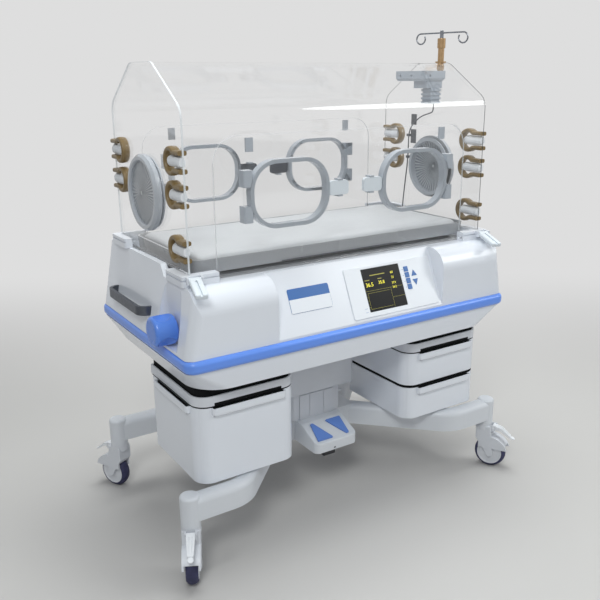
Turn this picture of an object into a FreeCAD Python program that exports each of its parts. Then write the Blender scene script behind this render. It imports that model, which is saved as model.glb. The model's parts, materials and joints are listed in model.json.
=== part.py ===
"""Infant incubator on a lifting stand, built from its sizes.

Frame: X along the length (right end +X), -Y towards the nurse's side, +Z up.
Origin: on the floor under the middle of the stand.
"""
import FreeCAD
import Part
import Sketcher
import math
import os
import re
from FreeCAD import Placement, Rotation, Vector

doc = FreeCAD.newDocument("incubator")

# Driving sizes in millimetres and degrees: alias, value, meaning
SIZES = [
    ("hood_x", 480, "half length of the hood"),
    ("hood_y", 225, "half width of the hood"),
    ("rim_out", 10, "body's rim outside the hood's ends"),
    ("rim_x", "=hood_x+rim_out", "half length of the body at its rim"),
    ("body_lean", 36, "body wider at the band than at its rim, each end"),
    ("body_x", "=rim_x+body_lean", "half length of the body at the band"),
    ("body_out", 73, "body's front outside the hood"),
    ("body_y", "=hood_y+body_out", "half width of the body"),
    ("floor_gap", 150, "floor to the underside of a caster socket"),
    ("wheel_r", 50, "caster wheel radius"),
    ("tread_w", 32, "caster tyre width"),
    ("fender_gap", 4, "fender clear of the tyre"),
    ("fender_thick", 5, "fender thickness"),
    ("cheek_thick", 6, "thickness of a fork cheek"),
    ("hub_r", 39, "radius where the tyre sits on its hub"),
    ("axle_r", 5, "caster axle radius"),
    ("stem_r", 8, "caster stem radius"),
    ("stem_len", 40, "caster stem length above the socket mouth"),
    ("trail", 26, "swivel axis to wheel axis"),
    ("caster_x", 525, "swivel axis from the middle, along"),
    ("caster_y", 262, "swivel axis from the middle, across"),
    ("turn_fl", -27, "swivel of the front left caster at rest"),
    ("turn_fr", 30, "swivel of the front right caster at rest"),
    ("turn_bl", 206, "swivel of the back left caster at rest"),
    ("turn_br", 163, "swivel of the back right caster at rest"),
    ("brake_y", 34, "brake pivot from the swivel axis"),
    ("brake_drop", 12, "brake pivot below the socket mouth"),
    ("brake_len", 68, "brake lever pivot to tip"),
    ("brake_w", 22, "brake lever width between its ears"),
    ("arm_rise", 15, "arms above the socket mouths"),
    ("arm_low", "=floor_gap+arm_rise", "underside of the stand's arms"),
    ("arm_high", 65, "height of the stand's arms"),
    ("arm_top", "=arm_low+arm_high", "top of the stand's arms"),
    ("arm_w", 48, "arm width"),
    ("arm_bend_x", 372, "where an arm turns towards its caster"),
    ("arm_bend_r", 90, "radius of that turn"),
    ("socket_r", 26, "caster socket radius"),
    ("spine_x", 150, "half length of the stand's middle block"),
    ("spine_y", 50, "half width of the stand's middle block"),
    ("pedal_x", 76, "half width of the pedal box"),
    ("pedal_front", 168, "pedal box front from the middle"),
    ("pedal_crest", 84, "where the pedal slope starts"),
    ("pedal_lip", 30, "height of the pedal box front face"),
    ("pedal_round", 18, "rounding of the pedal box's front corners"),
    ("pedal_edge", 4, "rounding of the pedal box's edges"),
    ("pad_w", 54, "wide end of a pedal pad"),
    ("pad_long", 68, "length of a pedal pad up the slope"),
    ("pad_tip", 9, "width of a pad's narrow end"),
    ("pad_up", 4, "pad standing out of the slope"),
    ("pad_deep", 5, "pad sunk in the slope"),
    ("pad_travel", 3, "pedal travel"),
    ("inner_x", 90, "half length of the fixed column"),
    ("inner_y", 55, "half width of the fixed column"),
    ("inner_high", 470, "height of the fixed column"),
    ("inner_top", "=arm_top+inner_high", "top of the fixed column"),
    ("inner_wall", 4, "wall of the fixed column"),
    ("slide_gap", 0.3, "gap round the fixed column"),
    ("outer_x", 130, "half length of the lifting column"),
    ("outer_y", 76, "half width of the lifting column"),
    ("outer_rise", 92, "lifting column's mouth above the arms"),
    ("outer_low", "=arm_top+outer_rise", "underside of the lifting column"),
    ("cover_half", 62, "half width of the fixed column's front cover"),
    ("cover_proud", 3, "front cover standing out of the fixed column"),
    ("cover_drop", 12, "front cover below the lifting column's mouth"),
    ("tab_out", 17, "side tab standing out of the fixed column"),
    ("lug_out", 17, "side lug standing out of the fixed column"),
    ("lug_deep", 18, "side lug's depth, the length of its eye"),
    ("lug_high", 22, "side lug height"),
    ("lug_drop", 52, "foot of the side lug below the lifting column's mouth"),
    ("eye_r", 5, "radius of the eye in the side lug"),
    ("pan_rise", 275, "pan above the stand's arms at the lowest setting"),
    ("pan_low", "=arm_top+pan_rise", "underside of the pan"),
    ("pan_x", "=body_x-pan_lean", "half length of the pan's underside"),
    ("pan_y", "=body_y-pan_flare", "half width of the pan's underside"),
    ("pan_r", 92, "corner radius of the pan's underside"),
    ("pan_wall", 5, "wall of the pan"),
    ("pan_deep", 60, "depth of the pan"),
    ("band_low", "=pan_low+pan_deep", "underside of the bumper band"),
    ("band_high", 33, "height of the bumper band"),
    ("band_top", "=band_low+band_high", "top of the bumper band"),
    ("band_x", "=body_x+4", "half length over the bumper band"),
    ("band_y", "=body_y+band_out", "half width over the bumper band"),
    ("band_r", 30, "corner radius of the bumper band"),
    ("band_nose", 12, "rounding of the band's edges"),
    ("band_out", 10, "bumper band standing out in front"),
    ("pan_lean", 31, "taper of the pan's ends"),
    ("pan_flare", 10, "taper of the pan's sides"),
    ("body_r", 24, "corner radius of the body"),
    ("neck_in", 10, "step from the body to its neck in the band"),
    ("body_high", 190, "height of the body above the band"),
    ("rim_top", "=band_top+body_high", "top of the body's rim"),
    ("pod_drop", 26, "front of the body below the rim"),
    ("pod_top", "=rim_top-pod_drop", "top of the body in front"),
    ("pod_r", 60, "rounding of the body's front shoulder"),
    ("rim_round", 14, "rounding of the body's top edge at the back"),
    ("rim_front", 80, "where the rim starts to drop, from the middle"),
    ("body_wall", 6, "wall of the body"),
    ("slope_half", 275, "half length of the sloped console"),
    ("slope_angle", 65.2, "console slope from level"),
    ("slope_foot", "=body_y+3", "console foot at the band, from the middle"),
    ("deck_x", "=hood_x-12", "half length of the deck"),
    ("deck_front", "=hood_y-22", "deck front edge from the middle"),
    ("deck_back", "=hood_y-11", "deck back edge from the middle"),
    ("deck_thick", 6, "deck thickness"),
    ("well_gap", 1, "gap round the deck"),
    ("ledge_w", 26, "ledge that carries the deck"),
    ("ledge_thick", 8, "thickness of that ledge"),
    ("recess_half", 64, "half width of the recess behind a knob"),
    ("recess_in", 7, "recess back wall outside the rim's end"),
    ("recess_r", 24, "corner radius of that recess"),
    ("knob_y", 172, "knob axis from the middle"),
    ("knob_rise", 48, "knob axis above the band"),
    ("knob_z", "=band_top+knob_rise", "knob axis above the floor"),
    ("knob_r", 38, "knob radius"),
    ("knob_len", 60, "knob length"),
    ("knob_out", 36, "knob's outer face outside the body"),
    ("knob_end", "=body_x+knob_out", "knob's outer face from the middle"),
    ("shaft_r", 6, "knob shaft radius"),
    ("fit_gap", 0.05, "radial gap of a turning fit"),
    ("case_gap", 0.3, "gap between parts that pass each other"),
    ("handle_rise", 52, "end handle above the band"),
    ("handle_low", "=band_top+handle_rise", "underside of an end handle"),
    ("handle_high", 24, "height of an end handle"),
    ("handle_front", 57, "handle's front root from the middle"),
    ("handle_back", 195, "handle's back root from the middle"),
    ("handle_reach", 19, "handle's outer face outside the body"),
    ("handle_out", "=body_x+handle_reach", "handle's outer face from the middle"),
    ("handle_bar", 9, "thickness of the handle's bar"),
    ("eave_rise", 382, "hood's eaves above the rim"),
    ("eave_z", "=rim_top+eave_rise", "height of the hood's eaves"),
    ("gable", 103, "hood's flat top above the eaves"),
    ("ridge_z", "=eave_z+gable", "height of the hood's flat top"),
    ("flat_y", 70, "half width of the hood's flat top"),
    ("hood_bend", 44, "radius of the hood's bends"),
    ("hood_wall", 6, "wall of the hood"),
    ("open_in", 75, "access opening's side inside the hood's end"),
    ("open_x", "=hood_x-open_in", "half width of an access opening"),
    ("open_drop", 62, "access opening below the eaves"),
    ("open_top", "=eave_z-open_drop", "top of an access opening"),
    ("open_r", 68, "corner radius of an access opening"),
    ("panel_gap", 3, "gap round an access panel"),
    ("hinge_out", 7, "panel hinge axis outside the hood's face"),
    ("hinge_rise", 10, "front hinge axis above the front of the body"),
    ("hinge_front_z", "=pod_top+hinge_rise", "height of the front panel's hinge axis"),
    ("hinge_back_rise", 11, "back hinge axis above the rim"),
    ("hinge_back_z", "=rim_top+hinge_back_rise", "height of the back panel's hinge axis"),
    ("barrel_r", 6, "panel hinge barrel radius"),
    ("pintle_r", 4, "panel hinge pin radius"),
    ("bracket_in", "=open_x-1", "inner end of a corner bracket"),
    ("bracket_high", 26, "height of a corner bracket"),
    ("bracket_thick", 13, "thickness of a corner bracket along the front"),
    ("bracket_end", 22, "thickness of a corner bracket at the end"),
    ("bracket_arm", 88, "length of a corner bracket's end arm"),
    ("port_x", 202, "hand port centre from the middle"),
    ("port_rise", 174, "hand port centre above the rim"),
    ("port_z", "=rim_top+port_rise", "hand port centre above the floor"),
    ("port_w", 230, "hand port width"),
    ("port_h", 168, "hand port height"),
    ("port_r", 74, "hand port corner radius"),
    ("port_rim", 10, "hand port ring thickness"),
    ("port_deep", 22, "hand port ring depth"),
    ("door_thick", 4, "hand port door thickness"),
    ("door_axis_x", "=port_x+port_w/2+door_axis_side", "hand port hinge axis from the middle"),
    ("door_axis_side", 12, "hand port hinge axis beside the port"),
    ("door_axis_out", 19, "hand port hinge axis outside the hood"),
    ("door_axis_y", "=hood_y+door_axis_out", "hand port hinge axis from the middle, across"),
    ("door_pin_r", 3, "hand port hinge pin radius"),
    ("clip_near", 23, "inner end of a hinge clip from the port's middle"),
    ("clip_far", 63, "outer end of a hinge clip from the port's middle"),
    ("clip_in", 5, "hinge clip reaching over the port's ring"),
    ("catch_in", 9, "panel catch's middle inside the port's outer end"),
    ("catch_low", 104, "underside of a panel catch above the port's middle"),
    ("catch_high", 33, "height of a panel catch"),
    ("latch_side", 36, "latch pivot beside the port"),
    ("latch_x", "=port_x-port_w/2-latch_side", "latch pivot from the middle"),
    ("latch_out", 14, "latch pivot outside the hood"),
    ("latch_y", "=hood_y+latch_out", "latch pivot from the middle, across"),
    ("latch_w", 60, "latch paddle length"),
    ("latch_h", 37, "latch paddle height"),
    ("latch_thick", 10, "latch paddle thickness"),
    ("latch_pin_r", 2.5, "latch pin radius"),
    ("iris_rise", 169, "iris port centre above the rim"),
    ("iris_z", "=rim_top+iris_rise", "iris port centre above the floor"),
    ("iris_r", 97, "iris port outer radius"),
    ("iris_wall", 17, "iris ring's width"),
    ("iris_throat", "=iris_r-iris_wall", "iris port clear radius"),
    ("iris_hole", "=iris_throat+6", "iris port hole in the hood"),
    ("iris_out", 18, "iris ring standing out of the hood"),
    ("bulb_r", 34.5, "grommet bulb radius"),
    ("bulb_in", 56, "grommet bulb centre inside the hood's side"),
    ("bulb_y", "=hood_y-bulb_in", "grommet bulb centre from the middle"),
    ("neck_h", 52, "grommet neck height"),
    ("grommet_band", 11, "grommet rubber thickness"),
    ("grommet_deep", 18, "grommet depth through the wall"),
    ("grommet_rise_top", 263, "top grommets above the rim"),
    ("grommet_top", "=rim_top+grommet_rise_top", "height of the top grommets"),
    ("grommet_rise_mid", 184, "middle grommets above the rim"),
    ("grommet_mid", "=rim_top+grommet_rise_mid", "height of the middle grommets"),
    ("grommet_rise_low", 54, "lowest grommets above the rim"),
    ("grommet_low", "=rim_top+grommet_rise_low", "height of the lowest grommets"),
    ("roll_r", 14, "radius of the roll in a grommet"),
    ("tray_side", 30, "mattress tray inside the hood's end"),
    ("tray_x", "=hood_x-tray_side", "half length of the mattress tray"),
    ("tray_front", 26, "mattress tray inside the hood's side"),
    ("tray_y", "=hood_y-tray_front", "half width of the mattress tray"),
    ("tray_rise", 15, "mattress tray above the deck"),
    ("tray_low", "=pod_top+tray_rise", "underside of the mattress tray"),
    ("tray_high", 35, "height of the mattress tray"),
    ("tray_top", "=tray_low+tray_high", "top of the mattress tray"),
    ("tray_wall", 5, "wall of the mattress tray"),
    ("tray_r", 28, "corner radius of the mattress tray"),
    ("mattress_up", 8, "mattress above its tray"),
    ("mattress_top", "=tray_top+mattress_up", "top of the mattress"),
    ("mattress_in", 2, "mattress inside the tray's wall"),
    ("cradle_in", 10, "cradle inside the tray's end"),
    ("cradle_x", "=tray_x-cradle_in", "half length of the tilting cradle"),
    ("cradle_side", 49, "cradle inside the tray's side"),
    ("cradle_y", "=tray_y-cradle_side", "half width of the tilting cradle"),
    ("cradle_bar", 22, "width of the cradle's bars"),
    ("cradle_thick", 9, "thickness of the cradle's bars"),
    ("tilt_in", 12, "tilt axis inside the cradle's end"),
    ("tilt_x", "=cradle_x-tilt_in", "tilt axis from the middle"),
    ("tilt_rise", 7.5, "tilt axes above the deck"),
    ("tilt_z", "=pod_top+tilt_rise", "height of the tilt axes"),
    ("tilt_pin_r", 3, "tilt pin radius"),
    ("head_x", "=pole_x-30", "sensor head centre along"),
    ("head_w", 88, "sensor head length"),
    ("head_d", 136, "sensor head depth"),
    ("head_drop", 52, "sensor head's underside below the hood's flat top"),
    ("head_low", "=ridge_z-head_drop", "underside of the sensor head"),
    ("head_high", 29, "sensor head height"),
    ("head_top", "=head_low+head_high", "top of the sensor head"),
    ("pole_in", 25, "pole axis inside the hood's end"),
    ("pole_x", "=hood_x-pole_in", "pole axis along"),
    ("pole_y", 55, "pole axis from the middle, across"),
    ("pole_r", 9.2, "pole tube radius"),
    ("collar_r", 12, "pole collar radius"),
    ("collar_rise", 42, "pole collar above the hood's flat top"),
    ("collar_low", "=ridge_z+collar_rise", "underside of the pole collar"),
    ("collar_high", 28, "pole collar height"),
    ("pole_top", "=collar_low+collar_high", "top of the pole collar"),
    ("hook_rod_r", 5.5, "hook rod radius"),
    ("hook_rise", 22, "hook rod above the pole collar"),
    ("hook_top", "=pole_top+hook_rise", "top of the hook rod"),
    ("hook_span", 87, "rod axis to the end of a hook arm"),
    ("hook_wire_r", 2.2, "hook wire radius"),
    ("hook_ring_r", 15, "hook ring centreline radius"),
    ("hook_turn", 106, "hook bar direction from +X"),
    ("hose_x", "=hood_x-10", "probe hose along"),
    ("hose_y", 96, "probe hose across"),
    ("hose_r", 2, "probe hose radius"),
    ("seam", 4, "seam between drawers"),
    ("case_in", 194, "drawer case inner side from the middle"),
    ("case_out", "=pan_x-8", "drawer case outer side from the middle"),
    ("case_inset", 38, "drawer case front inside the pan's edge"),
    ("case_front", "=pan_y-case_inset", "drawer case front from the middle"),
    ("case_back", 45, "drawer case back from the middle"),
    ("case_drop", 55, "drawer case's tray below the pan"),
    ("case_low", "=pan_low-case_drop", "underside of a drawer case's tray"),
    ("case_high", 26, "height of a drawer case's tray"),
    ("case_top", "=case_low+case_high", "rim of a drawer case's tray"),
    ("case_r", 42, "corner radius of a drawer case"),
    ("sheet_wall", 4, "wall of drawers and cases"),
    ("drawer_top", "=case_low-seam", "top of the upper drawers"),
    ("drawer_clear", 6, "lower drawers above the stand's arms"),
    ("drawer_low", "=arm_top+drawer_clear", "underside of the lower drawers"),
    ("drawer_deep", 106, "height of the lower right drawer's bay"),
    ("drawer_split", "=drawer_low+drawer_deep", "split between the right drawers"),
    ("lip_out", 12, "finger lip standing out of a drawer"),
    ("lip_high", 24, "finger lip height"),
    ("lip_long", 214, "finger lip length"),
    ("slot_high", 15, "finger slot height"),
    ("lip_round", 9, "rounding of a finger lip's ends"),
    ("lip_skin", 3, "wall of a finger lip"),
    ("rail_leg", 18, "runner height"),
    ("rail_foot", 9, "runner foot width"),
    ("rail_thick", 3, "runner foot thickness"),
    ("plate_left", -38, "console plate's left edge"),
    ("plate_right", 263, "console plate's right edge"),
    ("plate_low", 14, "console plate's lower edge up the slope"),
    ("plate_len", 140, "console plate's length up the slope"),
    ("plate_thick", 3, "console plate thickness"),
    ("screen_left", 18, "screen's left edge"),
    ("screen_w", 132, "screen width"),
    ("screen_low", 27, "screen's lower edge up the slope"),
    ("screen_h", 119, "screen height"),
    ("key_left", 165, "key column's left edge"),
    ("key_low", 68, "key column's lower edge up the slope"),
    ("key_side", 15, "key size"),
    ("key_pitch", 17, "key spacing"),
    ("arrow_left", 188, "arrow keys' left edge"),
    ("arrow_w", 19, "arrow key width"),
    ("arrow_up_low", 104, "up arrow key's lower edge up the slope"),
    ("arrow_down_low", 77, "down arrow key's lower edge up the slope"),
    ("key_proud", 1.2, "keys standing out of the plate"),
    ("lever_in", 6, "corner lever root inside the hood's end"),
    ("lever_x", "=hood_x-lever_in", "corner lever root from the middle"),
    ("lever_out", 24, "corner lever pivot outside the hood"),
    ("lever_y", "=hood_y+lever_out", "corner lever pivot from the middle, across"),
    ("lever_rise", 18, "corner lever pivot above the front of the body"),
    ("lever_z", "=pod_top+lever_rise", "corner lever pivot height"),
    ("lever_len", 76, "corner lever length"),
    ("lever_w", 31, "corner lever width"),
    ("lever_thick", 13, "corner lever thickness"),
    ("lever_turn", -14, "corner levers at rest, turned in plan"),
    ("lever_dip", 14, "corner lever dip from level"),
    ("lever_pin_r", 3, "corner lever pin radius"),
    ("fan_x", 270, "fan axis along"),
    ("fan_y", 20, "fan axis across"),
    ("fan_r", 62, "fan impeller radius"),
    ("fan_drop", 70, "impeller's underside below the front of the body"),
    ("fan_low", "=pod_top-fan_drop", "underside of the impeller"),
    ("fan_high", 40, "impeller blade height"),
    ("motor_r", 38, "fan motor radius"),
    ("motor_gap", 8, "motor below the impeller"),
    ("motor_top", "=fan_low-motor_gap", "top of the fan motor"),
    ("coil_r", 82, "heater coil radius"),
    ("coil_rise", 20, "heater coil above the impeller's underside"),
    ("coil_z", "=fan_low+coil_rise", "heater coil height"),
    ("coil_tube", 5, "heater coil tube radius"),
]

sheet = doc.addObject("Spreadsheet::Sheet", "sizes")
for row, (alias, value, meaning) in enumerate(SIZES, start=1):
    sheet.set("A%d" % row, alias)
    sheet.set("C%d" % row, meaning)
    sheet.setAlias("B%d" % row, alias)
for row, (alias, value, meaning) in enumerate(SIZES, start=1):
    sheet.set("B%d" % row, str(value))
doc.recompute()


class Sizes:
    """The sheet's values by name, for shapes that are worked out in code."""


S = Sizes()
for alias, value, meaning in SIZES:
    setattr(S, alias, float(sheet.get(alias)))

WORDS = {alias for alias, value, meaning in SIZES}
AXES = {"X": Rotation(Vector(0, 1, 0), 90), "Y": Rotation(Vector(1, 0, 0), -90), "Z": Rotation()}
UP = Vector(0, 0, 1)
nodes = {}


def bound(text):
    """An expression with each size's name pointed at the sheet."""
    return re.sub(r"[a-z][a-z_]*", lambda m: "sizes." + m.group(0) if m.group(0) in WORDS else m.group(0), str(text))


def bind(obj, **cells):
    for key, text in cells.items():
        obj.setExpression(key.replace("__", "."), bound(text))
    return obj


def at(obj, place, turn=Rotation()):
    obj.Placement = Placement(Vector(), turn)
    for letter, text in zip("xyz", place):
        obj.setExpression("Placement.Base." + letter, bound(text))
    return obj


def block(name, size, place):
    """A box with its low corner at place."""
    obj = doc.addObject("Part::Box", name)
    bind(obj, Length=size[0], Width=size[1], Height=size[2])
    return at(obj, place)


def rod(name, radius, length, place, axis="Z"):
    obj = doc.addObject("Part::Cylinder", name)
    bind(obj, Radius=radius, Height=length)
    return at(obj, place, AXES[axis])


def cut(name, base, *tools):
    tool = tools[0] if len(tools) == 1 else fuse(name + "_tools", *tools)
    obj = doc.addObject("Part::Cut", name)
    obj.Base = base
    obj.Tool = tool
    return obj


def fuse(name, *shapes):
    obj = doc.addObject("Part::MultiFuse", name)
    obj.Shapes = list(shapes)
    return obj


def group(name, *shapes):
    """Separate solids that share one node."""
    obj = doc.addObject("Part::Compound", name)
    obj.Links = list(shapes)
    return obj


def rounded(name, base, radius, pick):
    """Fillet of the edges that pick chooses."""
    doc.recompute()
    obj = doc.addObject("Part::Fillet", name)
    obj.Base = base
    edges = [i for i, edge in enumerate(base.Shape.Edges, start=1) if pick(edge)]
    obj.Edges = [(i, radius, radius) for i in edges]
    return obj


def runs(axis):
    """A pick for straight edges along one axis."""
    way = {"X": Vector(1, 0, 0), "Y": Vector(0, 1, 0), "Z": UP}[axis]

    def pick(edge):
        ends = [v.Point for v in edge.Vertexes]
        if len(ends) < 2 or edge.Curve.TypeId != "Part::GeomLine":
            return False
        return abs(abs((ends[1] - ends[0]).normalize().dot(way)) - 1) < 1e-6
    return pick


def level(*heights):
    """A pick for edges that lie flat at one of the heights."""
    def pick(edge):
        box = edge.BoundBox
        return box.ZLength < 1e-6 and any(abs(box.ZMin - z) < 1e-4 for z in heights)
    return pick


def soft_block(name, size, place, radius, axis="Z"):
    """A box with its four edges along axis rounded."""
    return rounded(name, block(name + "_raw", size, place), radius, runs(axis))


def prism(name, role, outline, low, length):
    """A straight body: an outline in an origin plane, from low, length long."""
    body = doc.addObject("PartDesign::Body", name)
    plane = next(f for f in body.Origin.OriginFeatures if f.Role == role)
    sketch = body.newObject("Sketcher::SketchObject", name + "_outline")
    sketch.AttachmentSupport = [(plane, "")]
    sketch.MapMode = "FlatFace"
    sketch.setExpression("AttachmentOffset.Base.z", bound(low))
    count = len(outline)
    start = [Vector(100 * math.cos(6.28 * i / count), 100 * math.sin(6.28 * i / count), 0) for i in range(count)]
    for i in range(count):
        sketch.addGeometry(Part.LineSegment(start[i], start[(i + 1) % count]))
    for i in range(count):
        sketch.addConstraint(Sketcher.Constraint("Coincident", i, 2, (i + 1) % count, 1))
    for i, (across, up) in enumerate(outline):
        for kind, letter, text, value in (("DistanceX", "u", across, start[i].x), ("DistanceY", "v", up, start[i].y)):
            index = sketch.addConstraint(Sketcher.Constraint(kind, -1, 1, i, 1, value))
            sketch.renameConstraint(index, letter + str(i))
            sketch.setExpression("Constraints." + letter + str(i), bound(text))
    pad = body.newObject("PartDesign::Pad", name + "_pad")
    pad.Profile = sketch
    bind(pad, Length=length)
    body.Tip = pad
    return body


def made(name, shape):
    """A shape worked out in code from the sheet's values."""
    obj = doc.addObject("Part::Feature", name)
    obj.Shape = shape
    return obj


def node(name, obj):
    """Name a finished sub-part; the label is its file's name."""
    obj.Label = name
    nodes[name] = obj
    return obj


def loop(half_x, half_y, radius, z):
    """A rounded rectangle of line and arc edges, centred on the Z axis."""
    points = []
    for sx, sy, start in ((1, 1, 0), (-1, 1, 90), (-1, -1, 180), (1, -1, 270)):
        middle = Vector(sx * (half_x - radius), sy * (half_y - radius), z)
        points.append([middle + Vector(math.cos(math.radians(start + a)) * radius,
                                       math.sin(math.radians(start + a)) * radius, 0) for a in (0, 45, 90)])
    edges = []
    for i, (first, mid, last) in enumerate(points):
        edges.append(Part.Arc(first, mid, last).toShape())
        edges.append(Part.LineSegment(last, points[(i + 1) % 4][0]).toShape())
    return Part.Wire(edges)


def loft(low, high):
    return Part.makeLoft([low, high], True, True)


def box(x0, x1, y0, y1, z0, z1):
    return Part.makeBox(x1 - x0, y1 - y0, z1 - z0, Vector(x0, y0, z0))


def mirror_x(shape):
    return shape.mirror(Vector(), Vector(1, 0, 0))


def mirror_y(shape):
    return shape.mirror(Vector(), Vector(0, 1, 0))


# Stand: middle block, four bent arms, caster sockets
def arm_path():
    """From a socket along X, round the bend and in to the middle block."""
    outer = Vector(S.caster_x, S.caster_y, S.arm_low)
    bend = Vector(S.arm_bend_x, S.caster_y, S.arm_low)
    inner = Vector(S.spine_x - S.spine_y / 2, S.spine_y / 4, S.arm_low)
    back = (inner - bend).normalize()
    half_turn = math.acos(max(-1, min(1, back.dot(Vector(-1, 0, 0))))) / 2
    reach = S.arm_bend_r * math.tan(half_turn)
    first = bend + Vector(reach, 0, 0)
    last = bend + back * reach
    middle = bend + (Vector(1, 0, 0) + back).normalize() * (S.arm_bend_r / math.cos(half_turn) - S.arm_bend_r)
    return Part.Wire([Part.LineSegment(outer, first).toShape(), Part.Arc(first, middle, last).toShape(),
                      Part.LineSegment(last, inner).toShape()])


def arm_section():
    """A round-topped section at the socket end of the path."""
    half = S.arm_w / 2
    crown = half * 0.75
    x, y = S.caster_x, S.caster_y
    low, top = S.arm_low, S.arm_top
    lean = crown * (1 - math.cos(math.radians(45)))
    return Part.Wire([
        Part.LineSegment(Vector(x, y - half, low), Vector(x, y - half, top - crown)).toShape(),
        Part.Arc(Vector(x, y - half, top - crown), Vector(x, y - half + lean, top - lean),
                 Vector(x, y - half + crown, top)).toShape(),
        Part.LineSegment(Vector(x, y - half + crown, top), Vector(x, y + half - crown, top)).toShape(),
        Part.Arc(Vector(x, y + half - crown, top), Vector(x, y + half - lean, top - lean),
                 Vector(x, y + half, top - crown)).toShape(),
        Part.LineSegment(Vector(x, y + half, top - crown), Vector(x, y + half, low)).toShape(),
        Part.LineSegment(Vector(x, y + half, low), Vector(x, y - half, low)).toShape()])


def base_frame_shape():
    arm = arm_path().makePipeShell([arm_section()], True, False)
    corner = Vector(S.caster_x, S.caster_y, S.floor_gap)
    socket = Part.makeCylinder(S.socket_r, S.arm_top + 4 - S.floor_gap, corner)
    socket = socket.makeFillet(8, [e for e in socket.Edges if level(S.arm_top + 4)(e)])
    bore = Part.makeCylinder(S.stem_r + S.fit_gap, S.stem_len + 1, corner)
    quarter = arm.fuse(socket)
    spine = box(-S.spine_x, S.spine_x, -S.spine_y, S.spine_y, S.arm_low, S.arm_top)
    spine = spine.makeFillet(14, [e for e in spine.Edges if runs("Z")(e)])
    half = quarter.fuse(mirror_x(quarter))
    frame = spine.fuse([half, mirror_y(half)]).removeSplitter()
    bores = Part.Compound([bore, mirror_x(bore), mirror_y(bore), mirror_x(mirror_y(bore))])
    return frame.cut(bores)


node("base_frame", made("base_frame_shape", base_frame_shape()))

column = soft_block("fixed_column_out", ("2*inner_x", "2*inner_y", "inner_top-arm_top"),
                    ("-inner_x", "-inner_y", "arm_top"), 12)
column_bore = block("fixed_column_bore", ("2*(inner_x-inner_wall)", "2*(inner_y-inner_wall)", "inner_top-arm_top"),
                    ("-inner_x+inner_wall", "-inner_y+inner_wall", "arm_top"))
cover = block("column_cover_raw", ("2*cover_half", "cover_proud", "outer_low-cover_drop-arm_top"),
              ("-cover_half", "-inner_y-cover_proud", "arm_top"))
cover_seams = [block("cover_seam_%d" % k, (1.5, 1.5, "outer_low-arm_top"), ("%s*cover_half*0.42-0.75" % way,
                                                                            "-inner_y-cover_proud-0.1", "arm_top+4"))
               for k, way in enumerate(("-1", "1"))]
side_tab = soft_block("column_tab", ("tab_out", 16, 6), ("inner_x", "-inner_y+14", "outer_low-40"), 2.5)
side_lug = cut("column_lug", soft_block("column_lug_raw", ("lug_out", "lug_deep", "lug_high"),
                                        ("-inner_x-lug_out", "-inner_y+14", "outer_low-lug_drop"), 2.5),
               rod("column_lug_eye", "eye_r", "2*lug_deep",
                   ("-inner_x-lug_out/2", "-inner_y+14-lug_deep/2", "outer_low-lug_drop+lug_high/2"), "Y"))
node("lower_column", group("fixed_column_set", cut("fixed_column", column, column_bore),
                           cut("column_cover", cover, *cover_seams), side_tab, side_lug))

# Pedal box with two sunk tapering pads
pedal_box = prism("pedal_box", "YZ_Plane",
                  [("-spine_y", "arm_low"), ("-spine_y", "arm_top"), ("-pedal_crest", "arm_top"),
                   ("-pedal_front", "arm_low+pedal_lip"), ("-pedal_front", "arm_low")], "-pedal_x", "2*pedal_x")
pedal_tilt = math.degrees(math.atan2(S.arm_top - S.arm_low - S.pedal_lip, S.pedal_front - S.pedal_crest))
pedal_slope = math.hypot(S.arm_top - S.arm_low - S.pedal_lip, S.pedal_front - S.pedal_crest)
PEDAL_FRAME = Placement(Vector(0, -S.pedal_front, S.arm_low + S.pedal_lip), Rotation(Vector(1, 0, 0), pedal_tilt))


def pad_outline(way, grow):
    """A tapering pad on the slope, wide in front on the left and wide behind on the right."""
    outer, wide, tip = S.pedal_x - 14, S.pad_w, S.pad_tip
    low = (pedal_slope - S.pad_long) / 2
    high = low + S.pad_long
    if way < 0:
        corners = [(-outer, low), (-outer + wide, low), (-outer + 12 + tip, high), (-outer + 12, high)]
    else:
        corners = [(outer - 12 - tip, low), (outer - 12, low), (outer - 4, high), (outer - 4 - wide, high)]
    face = Part.Face(Part.makePolygon([Vector(x, y, 0) for x, y in corners + corners[:1]]))
    return Part.Face(face.makeOffset2D(grow).OuterWire) if grow else face


def pedal_pad(way, grow, low, high):
    pad = pad_outline(way, grow).extrude(Vector(0, 0, high - low))
    if not grow:
        pad = pad.makeFillet(2.5, [e for e in pad.Edges if runs("Z")(e)])
    pad.Placement = PEDAL_FRAME.multiply(Placement(Vector(0, 0, low), Rotation()))
    return pad


pad_wells = Part.Compound([pedal_pad(sign, S.case_gap, -S.pad_deep - S.pad_travel - 1, 20) for sign in (-1, 1)])
pedal_corners = rounded("pedal_corners", pedal_box, S.pedal_round,
                        lambda e: runs("Z")(e) and e.CenterOfMass.y < -S.pedal_front + 1)
pedal_soft = rounded("pedal_soft", pedal_corners, S.pedal_edge,
                     lambda e: e.CenterOfMass.z > S.arm_low + S.pedal_lip - 1 and e.CenterOfMass.y < -S.pedal_crest - 1)
node("pedal_housing", cut("pedal_housing_cut", pedal_soft, made("pedal_wells", pad_wells)))
node("pedal_raise", made("pedal_raise_shape", pedal_pad(-1, 0, -S.pad_deep, S.pad_up)))
node("pedal_lower", made("pedal_lower_shape", pedal_pad(1, 0, -S.pad_deep, S.pad_up)))


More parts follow.
